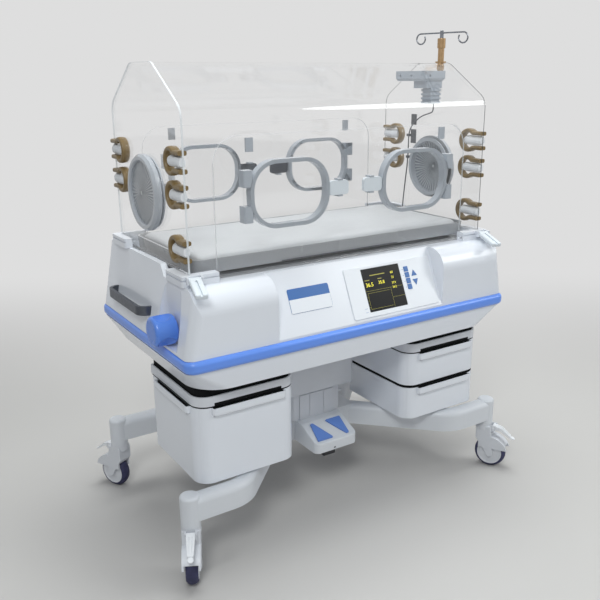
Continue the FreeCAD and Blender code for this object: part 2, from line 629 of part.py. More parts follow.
# Casters, modelled about the swivel axis and trailing towards -Y
def caster_fork():
    """Two slanting legs under a round crown, a fender behind and ears for the brake lever."""
    inner = S.tread_w / 2 + 2
    outer = inner + S.cheek_thick
    top = S.floor_gap - S.case_gap
    hub = Vector(-outer, -S.trail, S.wheel_r)
    across = Vector(1, 0, 0)
    leg = [Vector(-outer, 20, top - 12), Vector(-outer, 16, top - 6), Vector(-outer, -26, top - 6),
           Vector(-outer, -S.trail - 12, S.wheel_r), Vector(-outer, -S.trail + 12, S.wheel_r),
           Vector(-outer, 20, 2 * S.wheel_r)]
    legs = Part.Face(Part.makePolygon(leg + leg[:1])).extrude(across * 2 * outer)
    legs = legs.fuse(Part.makeCylinder(13, 2 * outer, hub, across)).removeSplitter()
    legs = legs.makeFillet(3, [e for e in legs.Edges if e.BoundBox.XLength < 1e-6])
    fender_in = S.wheel_r + S.fender_gap
    fender = Part.makeCylinder(fender_in + S.fender_thick, 2 * outer, hub, across)
    fender = fender.common(box(-outer, outer, -S.trail - 80, 10, S.wheel_r + 18, top))
    tunnel = Part.makeCylinder(fender_in, 2 * inner, Vector(-inner, hub.y, hub.z), across)
    tunnel = tunnel.fuse(box(-inner, inner, -S.trail - 80, 60, 20, S.wheel_r + 30))
    cap = Part.makeCylinder(S.socket_r, 20, Vector(0, 0, top - 20))
    stem = Part.makeCylinder(S.stem_r, S.stem_len + S.case_gap, Vector(0, 0, top - 1))
    axle = Part.makeCylinder(S.axle_r, 2 * outer, hub, across)
    ear_in = S.brake_w / 2 + S.case_gap
    pivot_z = S.floor_gap - S.brake_drop
    ears = box(-ear_in - 4, ear_in + 4, -S.brake_y - 7, -S.brake_y + 16, pivot_z - 10, top - 4)
    slot = box(-ear_in, ear_in, -S.brake_y - 8, -S.brake_y + 9, pivot_z - 20, top)
    pin_hole = Part.makeCylinder(S.door_pin_r + S.fit_gap, 60, Vector(-30, -S.brake_y, pivot_z), across)
    fork = legs.fuse([fender]).cut(tunnel).fuse([cap, stem, ears]).cut([slot, pin_hole])
    return fork.fuse(axle).removeSplitter()


def wheel_parts():
    """Tyre and hub turned about the axle, each its own solid."""
    half = S.tread_w / 2
    crown = half * 0.55
    bead = S.hub_r
    middle = Vector(0, -S.trail, S.wheel_r)
    edge = [Vector(-half, 0, bead), Vector(-half, 0, S.wheel_r - 8)]
    curve = Part.Arc(edge[1], Vector(0, 0, S.wheel_r), Vector(half, 0, S.wheel_r - 8)).toShape()
    side = [Part.LineSegment(edge[0], edge[1]).toShape(), curve,
            Part.LineSegment(Vector(half, 0, S.wheel_r - 8), Vector(half, 0, bead)).toShape(),
            Part.LineSegment(Vector(half, 0, bead), edge[0]).toShape()]
    tyre = Part.Face(Part.Wire(side)).revolve(Vector(), Vector(1, 0, 0), 360)
    bore = S.axle_r + S.fit_gap
    dish = half - 2.5
    rim = [Vector(-half, 0, bore), Vector(-half, 0, 12), Vector(-dish, 0, 15), Vector(-dish, 0, bead - 5),
           Vector(-half, 0, bead - 2), Vector(-half, 0, bead), Vector(half, 0, bead), Vector(half, 0, bead - 2),
           Vector(dish, 0, bead - 5), Vector(dish, 0, 15), Vector(half, 0, 12), Vector(half, 0, bore)]
    hub = Part.Face(Part.makePolygon(rim + rim[:1])).revolve(Vector(), Vector(1, 0, 0), 360)
    for part in (tyre, hub):
        part.translate(middle)
    return tyre, hub


def brake_lever():
    """A ribbed bar from its pivot under the crown out to a small round paddle."""
    y, z = -S.brake_y, S.floor_gap - S.brake_drop
    half = S.brake_w / 2
    across = Vector(1, 0, 0)
    root = Part.makeCylinder(7, S.brake_w, Vector(-half, y, z), across)
    pin = Part.makeCylinder(S.door_pin_r, S.brake_w + 8, Vector(-half - 4, y, z), across)
    tip_y, tip_z = y - S.brake_len, z - S.brake_len * 0.5
    neck_y, neck_z = tip_y + 14, tip_z + 9
    side = [Vector(-half, y, z + 7), Vector(-half, y - 24, z + 1), Vector(-half, neck_y, neck_z + 3),
            Vector(-half, neck_y, neck_z - 3), Vector(-half, y - 24, z - 9), Vector(-half, y, z - 7)]
    bar = Part.Face(Part.makePolygon(side + side[:1])).extrude(across * S.brake_w)
    plan = [Vector(-half, y + 8, 0), Vector(-half, y - 20, 0), Vector(-8, neck_y, 0), Vector(8, neck_y, 0),
            Vector(half, y - 20, 0), Vector(half, y + 8, 0)]
    bar = bar.common(Part.Face(Part.makePolygon(plan + plan[:1])).extrude(Vector(0, 0, 300)))
    grooves = [box(x - 1.2, x + 1.2, neck_y + 6, y - 12, z - 60, z + 20) for x in (-4, 4)]
    skin = bar.copy()
    skin.translate(Vector(0, 0, -1.6))
    bar = bar.cut([groove.cut(skin) for groove in grooves])
    paddle = Part.makeCylinder(8, 5, Vector(0, 0, -2.5))
    paddle = paddle.makeFillet(2, [e for e in paddle.Edges if e.BoundBox.ZLength < 1e-6])
    paddle.rotate(Vector(), across, 26)
    paddle.translate(Vector(0, tip_y + 8, tip_z + 5))
    return bar.fuse([root, pin, paddle]).removeSplitter()


CORNERS = (("fl", -1, -1, S.turn_fl), ("fr", 1, -1, S.turn_fr), ("bl", -1, 1, S.turn_bl), ("br", 1, 1, S.turn_br))
for mark, sx, sy, turn in CORNERS:
    stance = Placement(Vector(sx * S.caster_x, sy * S.caster_y, 0), Rotation(UP, turn))
    pieces = {"caster_fork_": caster_fork(), "caster_wheel_": Part.Compound(list(wheel_parts())),
              "brake_lever_": brake_lever()}
    for stem, shape in pieces.items():
        obj = node(stem + mark, made(stem + mark + "_shape", shape))
        obj.Placement = stance

# Lifting column round the fixed one
sleeve = soft_block("sleeve_out", ("2*outer_x", "2*outer_y", "pan_low-outer_low"),
                    ("-outer_x", "-outer_y", "outer_low"), 18)
sleeve_bore = block("sleeve_bore", ("2*(inner_x+slide_gap)", "2*(inner_y+slide_gap)", "pan_low-outer_low"),
                    ("-inner_x-slide_gap", "-inner_y-slide_gap", "outer_low"))
node("upper_column", cut("sleeve", sleeve, sleeve_bore))


# Pan, bumper band and body
def pan_shape():
    out = loft(loop(S.pan_x, S.pan_y, S.pan_r, S.pan_low), loop(S.body_x, S.body_y, S.body_r, S.band_low))
    wall = S.pan_wall
    hollow = loft(loop(S.pan_x - wall, S.pan_y - wall, S.pan_r - wall, S.pan_low + wall),
                  loop(S.body_x - wall, S.body_y - wall, S.body_r - wall, S.band_low))
    hole_x = S.inner_x + S.slide_gap
    hole_y = S.inner_y + S.slide_gap
    return out.cut(hollow).cut(box(-hole_x, hole_x, -hole_y, hole_y, S.pan_low - 1, S.pan_low + wall + 1))


node("lower_pan", made("pan", pan_shape()))

band_raw = soft_block("band_raw", ("2*band_x", "2*band_y", "band_top-band_low"), ("-band_x", "-band_y", "band_low"),
                      S.band_r)
band_out = rounded("band_out", band_raw, S.band_nose, level(S.band_low, S.band_top))
band_hole = soft_block("band_hole", ("2*(body_x-neck_in+case_gap)", "2*(body_y-neck_in+case_gap)", "band_top-band_low"),
                       ("-body_x+neck_in-case_gap", "-body_y+neck_in-case_gap", "band_low"), S.body_r - S.neck_in)
node("bumper", cut("band", band_out, band_hole))


def body_side(inset, top):
    """The body's section across: back wall, rim, front shoulder."""
    front = -S.body_y + inset
    back = S.body_y - inset
    shoulder = S.pod_r - inset
    pod = min(S.pod_top - inset, top)
    shoulder_z = pod - shoulder
    lean = shoulder * math.sin(math.radians(45))
    edges = [Part.Arc(Vector(0, front, shoulder_z),
                      Vector(0, front + shoulder - lean, shoulder_z + lean),
                      Vector(0, front + shoulder, pod)).toShape()]
    points = [Vector(0, front + shoulder, pod)]
    if top > pod:
        points += [Vector(0, -S.rim_front - 30, pod), Vector(0, -S.rim_front, top)]
    high = max(pod, top)
    round_off = S.rim_round - inset
    chord = round_off * (1 - math.sin(math.radians(45)))
    points.append(Vector(0, back - round_off, high))
    edges += [Part.LineSegment(a, b).toShape() for a, b in zip(points, points[1:])]
    edges.append(Part.Arc(points[-1], Vector(0, back - chord, high - chord),
                          Vector(0, back, high - round_off)).toShape())
    points = [Vector(0, back, high - round_off), Vector(0, back, S.band_low), Vector(0, front, S.band_low),
              Vector(0, front, shoulder_z)]
    edges += [Part.LineSegment(a, b).toShape() for a, b in zip(points, points[1:])]
    solid = Part.Face(Part.Wire(edges)).extrude(Vector(2.4 * S.body_x, 0, 0))
    solid.translate(Vector(-1.2 * S.body_x, 0, 0))
    return solid


def body_plan(inset, top):
    """The body's tapering plan between the band and the rim."""
    lean = (S.body_x - S.rim_x) / (S.rim_top - S.band_top)
    high_x = S.body_x - lean * (top - S.band_top)
    return loft(loop(S.body_x - inset, S.body_y - inset, S.body_r - inset, S.band_top),
                loop(high_x - inset, S.body_y - inset, S.body_r - inset, top))


def console_wedge(inset):
    """What the sloped console takes off the front."""
    run = 1 / math.tan(math.radians(S.slope_angle))
    half = S.slope_half + inset
    back = inset / math.sin(math.radians(S.slope_angle))
    low_y = -S.slope_foot + back
    top_y = low_y + run * (S.rim_top + 20 - S.band_top)
    side = [Vector(-half, low_y, S.band_top), Vector(-half, top_y, S.rim_top + 20),
            Vector(-half, -400, S.rim_top + 20), Vector(-half, -400, S.band_top)]
    return Part.Face(Part.makePolygon(side + side[:1])).extrude(Vector(2 * half, 0, 0))


def body_hull():
    """The body's outer form above the band."""
    return body_side(0, S.rim_top).common(body_plan(0, S.rim_top)).cut(console_wedge(0))


def neck(inset):
    x, y, r = S.body_x - S.neck_in - inset, S.body_y - S.neck_in - inset, S.body_r - S.neck_in - inset
    return loft(loop(x, y, r, S.band_low), loop(x, y, r, S.band_top))


def knob_recess(sign, grow):
    """An upright recess in the leaning end wall behind a knob; it fades out where the wall leans past it."""
    half = S.recess_half + grow
    recess = box(S.rim_x + S.recess_in - grow, S.body_x + 60, -S.knob_y - half, -S.knob_y + half,
                 S.band_top + S.body_wall - grow, S.rim_top - 8)
    recess = recess.makeFillet(S.recess_r + grow, [e for e in recess.Edges if runs("Z")(e)
                                                   and e.CenterOfMass.x < S.body_x])
    return mirror_x(recess) if sign < 0 else recess


def corner_bracket(sx, sy, low):
    """An L round a foot of the hood, with the panel's hinge bore in its inner end."""
    gap = S.case_gap
    face_y = S.hood_y + gap
    face_x = S.hood_x + gap
    seat_y = S.hood_y - S.hood_wall - 6 if sy < 0 else face_y
    seat_x = S.hood_x - S.hood_wall - 4 if sy < 0 else face_x
    out_x, out_y = face_x + S.bracket_end, face_y + S.bracket_thick
    arm = box(S.bracket_in, out_x, seat_y, out_y, low, low + S.bracket_high)
    end = box(seat_x, out_x, S.hood_y - S.bracket_arm, out_y, low, low + S.bracket_high)
    bracket = arm.fuse(end)
    bracket = bracket.makeFillet(6, [e for e in bracket.Edges if runs("Z")(e) and e.CenterOfMass.x > face_x + 8])
    lip = bracket.cut(box(0, out_x - 3, 0, out_y - 3, low - 1, low + 60))
    bracket = bracket.cut(lip.common(box(0, 600, 0, 400, low + 15, low + 18)))
    axis_z = S.hinge_front_z if sy < 0 else S.hinge_back_z
    bore = Part.makeCylinder(S.pintle_r + S.fit_gap, 14, Vector(S.bracket_in - 1, S.hood_y + S.hinge_out, axis_z),
                             Vector(1, 0, 0))
    bracket = bracket.cut(bore)
    if sx < 0:
        bracket = mirror_x(bracket)
    return mirror_y(bracket) if sy < 0 else bracket


def lever_ears(sx):
    """Two ears on a front bracket that hold the corner lever's pin."""
    gap = S.lever_w / 2 + S.case_gap
    ears = [box(side * gap - (4 if side < 0 else 0), side * gap + (4 if side > 0 else 0),
                -9, 22, -8, 8) for side in (-1, 1)]
    bore = Part.makeCylinder(S.lever_pin_r + S.fit_gap, 80, Vector(-40, 0, 0), Vector(1, 0, 0))
    pair = ears[0].fuse(ears[1]).cut(bore)
    pair.Placement = lever_stance(sx)
    trim = box(-600, 600, -S.hood_y - S.case_gap - S.bracket_thick + 2, 0, 600, 900)
    return pair.cut(trim)


def lever_stance(sx):
    return Placement(Vector(sx * S.lever_x, -S.lever_y, S.lever_z), Rotation(UP, S.lever_turn))


def upper_shell_shape():
    hull = body_hull()
    inner_top = S.pod_top - S.deck_thick - S.ledge_thick
    room = body_side(S.body_wall, inner_top).common(body_plan(S.body_wall, S.rim_top))
    room = room.cut(console_wedge(S.body_wall))
    recesses = [knob_recess(sign, S.body_wall).common(hull) for sign in (-1, 1)]
    shell = hull.cut(room).fuse(recesses).fuse(neck(0).cut(neck(S.body_wall)))
    well = box(-S.deck_x - S.well_gap, S.deck_x + S.well_gap, -S.deck_front - S.well_gap, S.deck_back + S.well_gap,
               S.pod_top - S.deck_thick, S.rim_top + 1)
    mouth_x = S.deck_x - S.ledge_w
    mouth = box(-mouth_x, mouth_x, -S.deck_front + S.ledge_w, S.deck_back - S.ledge_w, inner_top - 20, S.rim_top)
    shell = shell.cut([knob_recess(-1, 0), knob_recess(1, 0), well, mouth])
    brackets = [corner_bracket(sx, -1, S.pod_top) for sx in (-1, 1)]
    brackets += [corner_bracket(sx, 1, S.rim_top) for sx in (-1, 1)]
    shell = shell.fuse(brackets + [lever_ears(-1), lever_ears(1)])
    shaft_bore = Part.makeCylinder(S.shaft_r + S.fit_gap, 2 * S.knob_end, Vector(-S.knob_end, -S.knob_y, S.knob_z),
                                   Vector(1, 0, 0))
    return shell.cut(shaft_bore)


node("upper_shell", made("body_shell", upper_shell_shape()))


# Deck inside the hood, with air slots at both ends and tilt lugs
def deck_shape():
    low = S.pod_top - S.deck_thick
    deck = box(-S.deck_x, S.deck_x, -S.deck_front, S.deck_back, low, S.pod_top)
    slots = [box(x - 5, x + 5, -130, 130, low - 1, S.pod_top + 1) for x in (-S.deck_x + 12, S.deck_x - 12)]
    grille = [box(S.fan_x - 60, S.fan_x + 60, S.fan_y + k * 16 - 4, S.fan_y + k * 16 + 4, low - 1, S.pod_top + 1)
              for k in range(-3, 4)]
    lugs = []
    for side in (-1, 1):
        y = side * (S.cradle_y + S.case_gap)
        lug = box(-S.tilt_x - 7, -S.tilt_x + 7, min(y, y + side * 8), max(y, y + side * 8), S.pod_top, S.tilt_z + 5)
        lugs.append(lug)
    bore = Part.makeCylinder(S.tilt_pin_r + S.fit_gap, 500, Vector(-S.tilt_x, -250, S.tilt_z), Vector(0, 1, 0))
    return deck.cut(slots + grille).fuse(lugs).cut(bore)


node("main_deck", made("deck", deck_shape()))


# Warm-air fan under the deck
def fan_shape():
    centre = Vector(S.fan_x, S.fan_y, S.fan_low)
    disc = Part.makeCylinder(S.fan_r, 3, centre)
    hub = Part.makeCylinder(14, S.fan_high, centre)
    blades = []
    for k in range(12):
        blade = Part.makeBox(S.fan_r * 0.42, 2.4, S.fan_high, Vector(S.fan_r * 0.56, 0, 0))
        blade.rotate(Vector(S.fan_r * 0.56, 0, 0), UP, 24)
        blade.rotate(Vector(), UP, 30 * k)
        blade.translate(centre)
        blades.append(blade)
    bore = Part.makeCylinder(4 + S.fit_gap, S.fan_high - 6, centre)
    return disc.fuse([hub] + blades).common(Part.makeCylinder(S.fan_r, S.fan_high, centre)).cut(bore)


motor = rod("motor_can", "motor_r", "motor_top-pan_low-pan_wall", ("fan_x", "fan_y", "pan_low+pan_wall"))
motor_shaft = rod("motor_shaft", 4, "fan_high-6", ("fan_x", "fan_y", "motor_top"))
node("fan_motor", fuse("motor", motor, motor_shaft))
node("fan_impeller", made("fan", fan_shape()))

coil = doc.addObject("Part::Torus", "coil")
bind(coil, Radius1="coil_r", Radius2="coil_tube")
at(coil, ("fan_x", "fan_y", "coil_z"))
coil_legs = [rod("coil_leg_%d" % k, 3, "pod_top-deck_thick-coil_z",
                 ("fan_x+coil_r*cos(%d)" % angle, "fan_y+coil_r*sin(%d)" % angle, "coil_z"))
             for k, angle in enumerate((45, 165, 285))]
node("heater", fuse("heater_coil", coil, *coil_legs))


# Knobs with three finger dishes
def knob_shape(sign):
    axis = Vector(sign, 0, 0)
    foot = Vector(sign * (S.knob_end - S.knob_len), -S.knob_y, S.knob_z)
    knob = Part.makeCylinder(S.knob_r, S.knob_len, foot, axis)
    knob = knob.makeFillet(9, [e for e in knob.Edges if e.BoundBox.XLength < 1e-6])
    dishes = []
    for angle in (222, 342, 102):
        out = Vector(0, math.cos(math.radians(angle)), math.sin(math.radians(angle))) * (S.knob_r + 16)
        dishes.append(Part.makeSphere(S.knob_len * 0.46, foot + axis * (S.knob_len * 0.54) + out))
    shaft = Part.makeCylinder(S.shaft_r, 60, foot - axis * 58, axis)
    return knob.cut(dishes).fuse(shaft)


node("tilt_knob_left", made("knob_left", knob_shape(-1)))
node("tilt_knob_right", made("knob_right", knob_shape(1)))


# End handles, trimmed to the body's wall
def handle_shape():
    low = S.handle_low
    out = box(S.rim_x, S.handle_out, -S.handle_front, S.handle_back, low, low + S.handle_high)
    out = out.makeFillet(30, [e for e in out.Edges if runs("Z")(e) and e.CenterOfMass.x > S.rim_x + 1])
    bar = S.handle_bar
    hole = box(S.rim_x - 1, S.handle_out - bar, -S.handle_front + bar, S.handle_back - bar, low - 1,
               low + S.handle_high + 1)
    hole = hole.makeFillet(22, [e for e in hole.Edges if runs("Z")(e) and e.CenterOfMass.x > S.rim_x + 1])
    handle = out.cut(hole)
    handle = handle.cut(body_hull())
    return Part.Compound([handle, mirror_x(handle)])


node("end_handles", made("handles", handle_shape()))


# Corner levers on the front brackets
def corner_lever(sx):
    half = S.lever_thick / 2
    blade = box(-S.lever_w / 2, S.lever_w / 2, -S.lever_len - 6, 0, -half, half)
    blade = blade.makeFillet(4.5, [e for e in blade.Edges if runs("Y")(e) or e.CenterOfMass.y < -S.lever_len])
    blade = blade.cut(box(-2.5, 2.5, -S.lever_len - 7, -12, half - 4, half + 1))
    blade.rotate(Vector(), Vector(1, 0, 0), S.lever_dip)
    root = Part.makeCylinder(7, S.lever_w, Vector(-S.lever_w / 2, 0, 0), Vector(1, 0, 0))
    pin = Part.makeCylinder(S.lever_pin_r, S.lever_w + 8, Vector(-S.lever_w / 2 - 4, 0, 0), Vector(1, 0, 0))
    lever = blade.fuse([root, pin])
    lever.Placement = lever_stance(sx)
    return lever


node("corner_lever_left", made("lever_left", corner_lever(-1)))
node("corner_lever_right", made("lever_right", corner_lever(1)))

# Console plate, screen and keys, laid on the slope
slope_turn = Rotation(Vector(1, 0, 0), S.slope_angle)


def on_slope(obj):
    obj.Placement = Placement(Vector(0, -S.slope_foot, S.band_top), slope_turn)
    obj.setExpression("Placement.Base.y", "-sizes.slope_foot")
    obj.setExpression("Placement.Base.z", "sizes.band_top")
    obj.setExpression("Placement.Rotation.Angle", "sizes.slope_angle")
    return obj


def slope_pad(name, left, low, wide, tall, foot, thick, radius):
    """A rounded pad on the console slope, foot above the slope's face."""
    raw = block(name + "_raw", (wide, tall, thick), (left, low, foot))
    return rounded(name, raw, radius, runs("Z"))


plate = slope_pad("plate_pad", "plate_left", "plate_low", "plate_right-plate_left", "plate_len", "0", "plate_thick", 6)
screen_well = slope_pad("screen_well", "screen_left-case_gap", "screen_low-case_gap", "screen_w+2*case_gap",
                        "screen_h+2*case_gap", "1", "plate_thick", 1.5)
node("control_panel", on_slope(cut("console_plate", plate, screen_well)))
node("display", on_slope(group("screen", slope_pad("screen_pad", "screen_left", "screen_low", "screen_w", "screen_h",
                                                  "1", "plate_thick-1.4", 1.2))))
keys = [slope_pad("key_%d" % k, "key_left", "key_low+%d*key_pitch" % k, "key_side", "key_side", "plate_thick",
                  "key_proud", 1.5) for k in range(4)]


def arrow_key(low, way):
    tall = S.arrow_w * 0.9
    foot = low if way > 0 else low + tall
    corners = [Vector(S.arrow_left, foot, S.plate_thick), Vector(S.arrow_left + S.arrow_w, foot, S.plate_thick),
               Vector(S.arrow_left + S.arrow_w / 2, foot + way * tall, S.plate_thick)]
    return Part.Face(Part.makePolygon(corners + corners[:1])).extrude(Vector(0, 0, S.key_proud))


arrows = [made("arrow_up", arrow_key(S.arrow_up_low, 1)), made("arrow_down", arrow_key(S.arrow_down_low, -1))]
node("keypad", on_slope(group("keys", *(keys + arrows))))


# Hood: a bent clear sheet with two ends, two access openings, iris holes and grommet notches
def hood_section(inset):
    """House-shaped section with bent corners."""
    low = S.rim_top
    y, flat = S.hood_y - inset, S.flat_y - inset * 0.3
    eave, ridge = S.eave_z - inset * 0.3, S.ridge_z - inset
    corners = [Vector(0, -y, low), Vector(0, -y, eave), Vector(0, -flat, ridge), Vector(0, flat, ridge),
               Vector(0, y, eave), Vector(0, y, low)]
    solid = Part.Face(Part.makePolygon(corners + corners[:1])).extrude(Vector(2 * (S.hood_x - inset), 0, 0))
    solid.translate(Vector(-S.hood_x + inset, 0, 0))
    bends = [e for e in solid.Edges if runs("X")(e) and e.CenterOfMass.z > low + 1]
    return solid.makeFillet(S.hood_bend - inset, bends)


def access_cut(side, low, gap):
    """The opening's prism; side -1 front, 1 back; gap shrinks it to the panel's outline."""
    half = S.open_x - gap
    y0 = side * (S.hood_y - 3 * S.hood_wall)
    y1 = side * (S.hood_y + 3 * S.hood_wall)
    prism_box = box(-half, half, min(y0, y1), max(y0, y1), low, S.open_top - gap)
    tops = [e for e in prism_box.Edges if runs("Y")(e) and e.CenterOfMass.z > S.open_top - gap - 1]
    return prism_box.makeFillet(S.open_r - gap, tops)


def grommet_outline(sy, z, shrink, x0, x1):
    """Bulb and neck of an omega grommet, from x0 to x1."""
    outer = S.bulb_r - shrink
    half = S.neck_h / 2 - shrink
    bulb = Part.makeCylinder(outer, x1 - x0, Vector(x0, sy * S.bulb_y, z), Vector(1, 0, 0))
    tip = S.hood_y + 5
    stalk = box(x0, x1, min(sy * S.bulb_y, sy * tip), max(sy * S.bulb_y, sy * tip), z - half, z + half)
    return bulb.fuse(stalk)


GROMMETS = [(-1, S.grommet_top), (-1, S.grommet_mid), (-1, S.grommet_low), (1, S.grommet_top), (1, S.grommet_mid)]


def hood_shape():
    """A bent wrap and two flat end plates, each its own solid."""
    outer, inner = hood_section(0), hood_section(S.hood_wall)
    plate_x = S.hood_x - S.hood_wall
    middle = box(-plate_x, plate_x, -400, 400, 0, 2000)
    tools = [access_cut(-1, S.rim_top - 40, 0), access_cut(1, S.rim_top - 40, 0)]
    tools.append(Part.makeCylinder(S.iris_hole, 3 * S.hood_x, Vector(-1.5 * S.hood_x, 0, S.iris_z), Vector(1, 0, 0)))
    for sx in (-1, 1):
        notch_in = S.hood_x - S.hood_wall / 2 - S.grommet_deep / 2 - S.case_gap
        ends = sorted((sx * notch_in, sx * (S.hood_x + 1)))
        for sy, z in GROMMETS:
            tools.append(grommet_outline(sy, z, -S.case_gap, ends[0], ends[1]))
            corner = Vector(sx * (S.hood_x - S.hood_wall / 2), sy * (S.hood_y - 2 * S.hood_wall), z)
            tools.append(Part.makeCylinder(S.roll_r + S.case_gap, 3 * S.hood_wall, corner, Vector(0, sy, 0)))
    tools.append(Part.makeCylinder(S.pole_r + S.fit_gap, 80, Vector(S.pole_x, -S.pole_y, S.ridge_z - 40)))
    wrap = outer.common(middle).cut(inner)
    plates = [outer.common(box(min(sx * plate_x, sx * 900), max(sx * plate_x, sx * 900), -400, 400, 0, 2000))
              for sx in (-1, 1)]
    return Part.Compound([piece.cut(tools).Solids[0] for piece in [wrap] + plates])


node("hood", made("hood_sheet", hood_shape()))


def grommet_shape():
    pieces = []
    for sx in (-1, 1):
        middle = sx * (S.hood_x - S.hood_wall / 2)
        x0, x1 = middle - S.grommet_deep / 2, middle + S.grommet_deep / 2
        for sy, z in GROMMETS:
            rubber = grommet_outline(sy, z, 0, x0, x1).removeSplitter()
            rubber = rubber.cut(grommet_outline(sy, z, S.grommet_band, x0 - 1, x1 + 1))
            tip = S.hood_y + 3
            inner_end = S.bulb_y - S.bulb_r + S.grommet_band + 1
            roll = Part.makeCylinder(S.roll_r, tip - inner_end, Vector(middle, sy * inner_end, z), Vector(0, sy, 0))
            pieces += [rubber, roll]
    return Part.Compound(pieces)


node("grommets", made("grommet_set", grommet_shape()))


# Iris ports: turning ring with a pleated sleeve closed across it
def iris_shape(sign):
    face = S.hood_x + S.case_gap
    out = S.hood_x + S.iris_out
    inner_face = S.hood_x - S.hood_wall - S.case_gap
    profile = [(inner_face - 4, S.iris_throat), (inner_face - 4, S.iris_hole + 5), (inner_face, S.iris_hole + 5),
               (inner_face, S.iris_hole - S.case_gap), (face, S.iris_hole - S.case_gap), (face, S.iris_r),
               (out - 7, S.iris_r), (out, S.iris_r - 6), (out, S.iris_throat + 3), (out - 4, S.iris_throat),
               (out - 8, S.iris_throat), (out - 2, 8), (out - 2, 0), (out - 4, 0), (out - 4, 8),
               (out - 11, S.iris_throat)]
    points = [Vector(sign * x, 0, S.iris_z + r) for x, r in profile]
    face_shape = Part.Face(Part.makePolygon(points + points[:1]))
    return face_shape.revolve(Vector(0, 0, S.iris_z), Vector(1, 0, 0), 360)


node("iris_left", made("iris_left_shape", iris_shape(-1)))
node("iris_right", made("iris_right_shape", iris_shape(1)))


# Access panels: sheet with two port holes and a hinge barrel below
def port_outline(x, shrink, y0, y1):
    half_w, half_h = S.port_w / 2 - shrink, S.port_h / 2 - shrink
    ring = box(x - half_w, x + half_w, min(y0, y1), max(y0, y1), S.port_z - half_h, S.port_z + half_h)
    return ring.makeFillet(S.port_r - shrink, [e for e in ring.Edges if runs("Y")(e)])


def panel_shape(side):
    axis_z = S.hinge_front_z if side < 0 else S.hinge_back_z
    low = axis_z - 4
    inner_y, outer_y = side * (S.hood_y - S.hood_wall), side * S.hood_y
    sheet_box = box(-600, 600, min(inner_y, outer_y), max(inner_y, outer_y), low, 1300)
    panel = access_cut(side, low, S.panel_gap).common(sheet_box)
    holes = [port_outline(x, S.port_rim, side * 300, side * 150) for x in (-S.port_x, S.port_x)]
    half = S.open_x - S.panel_gap
    axis_y = side * (S.hood_y + S.hinge_out)
    barrel = Part.makeCylinder(S.barrel_r, 2 * half, Vector(-half, axis_y, axis_z), Vector(1, 0, 0))
    web = box(-half, half, min(axis_y, outer_y), max(axis_y, outer_y), low, axis_z + 4)
    reach = S.bracket_in + 10
    pintle = Part.makeCylinder(S.pintle_r, 2 * reach, Vector(-reach, axis_y, axis_z), Vector(1, 0, 0))
    return panel.cut(holes).fuse([barrel, web, pintle]).removeSplitter()


node("front_panel", made("front_panel_shape", panel_shape(-1)))
node("rear_panel", made("rear_panel_shape", panel_shape(1)))


def port_frame(side):
    """Both hand-port rings of a panel with hinge clips, latch ears and panel catches."""
    face = side * S.hood_y
    front = side * (S.hood_y + S.port_deep)
    pieces = []
    for sx in (-1, 1):
        x = sx * S.port_x
        ring = port_outline(x, 0, face, front).cut(port_outline(x, S.port_rim, side * 300, side * 150))
        axis = Vector(sx * S.door_axis_x, side * S.door_axis_y, 0)
        clip_in = sx * (S.port_x + S.port_w / 2 - S.clip_in)
        clip_out = sx * (S.door_axis_x + 8)
        clips = []
        for near, far in ((S.clip_near, S.clip_far), (-S.clip_far, -S.clip_near)):
            clip = box(min(clip_in, clip_out), max(clip_in, clip_out), min(face, side * (S.door_axis_y + 7)),
                       max(face, side * (S.door_axis_y + 7)), S.port_z + near, S.port_z + far)
            clips.append(clip.makeFillet(5, [e for e in clip.Edges if runs("Z")(e)
                                             and abs(e.CenterOfMass.y) > S.hood_y + 2]))
        bore = Part.makeCylinder(S.door_pin_r + S.fit_gap, 140, Vector(axis.x, axis.y, S.port_z - 70))
        door_room = port_outline(x, -3, side * (S.hood_y + S.port_deep - S.case_gap), side * 300)
        pieces.append(ring.fuse([c.cut(door_room) for c in clips]).cut(bore))
        half = S.latch_h / 2 + S.case_gap
        for end in (-1, 1):
            z0, z1 = sorted((S.port_z + end * half, S.port_z + end * (half + 4)))
            ear = box(sx * S.latch_x - 7, sx * S.latch_x + 7, min(face, side * (S.latch_y + 6)),
                      max(face, side * (S.latch_y + 6)), z0, z1)
            pin_bore = Part.makeCylinder(S.latch_pin_r + S.fit_gap, 60,
                                         Vector(sx * S.latch_x, side * S.latch_y, S.port_z - 30))
            pieces.append(ear.cut(pin_bore))
        catch_x = sx * (S.port_x + S.port_w / 2 - S.catch_in)
        catch_z = S.port_z + S.catch_low
        pieces.append(box(catch_x - 10, catch_x + 10, min(face, side * (S.hood_y + 5)),
                          max(face, side * (S.hood_y + 5)), catch_z, catch_z + S.catch_high))
    return Part.Compound(pieces)


node("port_frames_front", made("frames_front", port_frame(-1)))
node("port_frames_rear", made("frames_rear", port_frame(1)))


def port_door(sx, side):
    """Clear door with its hinge arm and pin."""
    x = sx * S.port_x
    inner = side * (S.hood_y + S.port_deep + S.case_gap)
    outer = side * (S.hood_y + S.port_deep + S.case_gap + S.door_thick)
    plate_solid = port_outline(x, 0, inner, outer)
    axis_x, axis_y = sx * S.door_axis_x, side * S.door_axis_y
    half = S.clip_near - 1
    arm = box(min(x + sx * S.port_w * 0.44, axis_x), max(x + sx * S.port_w * 0.44, axis_x), min(inner, outer),
              max(inner, outer), S.port_z - half, S.port_z + half)
    knuckle = Part.makeCylinder(7, 2 * half, Vector(axis_x, axis_y, S.port_z - half))
    pin = Part.makeCylinder(S.door_pin_r, 2 * S.clip_far, Vector(axis_x, axis_y, S.port_z - S.clip_far))
    return plate_solid.fuse([arm, knuckle, pin]).removeSplitter()


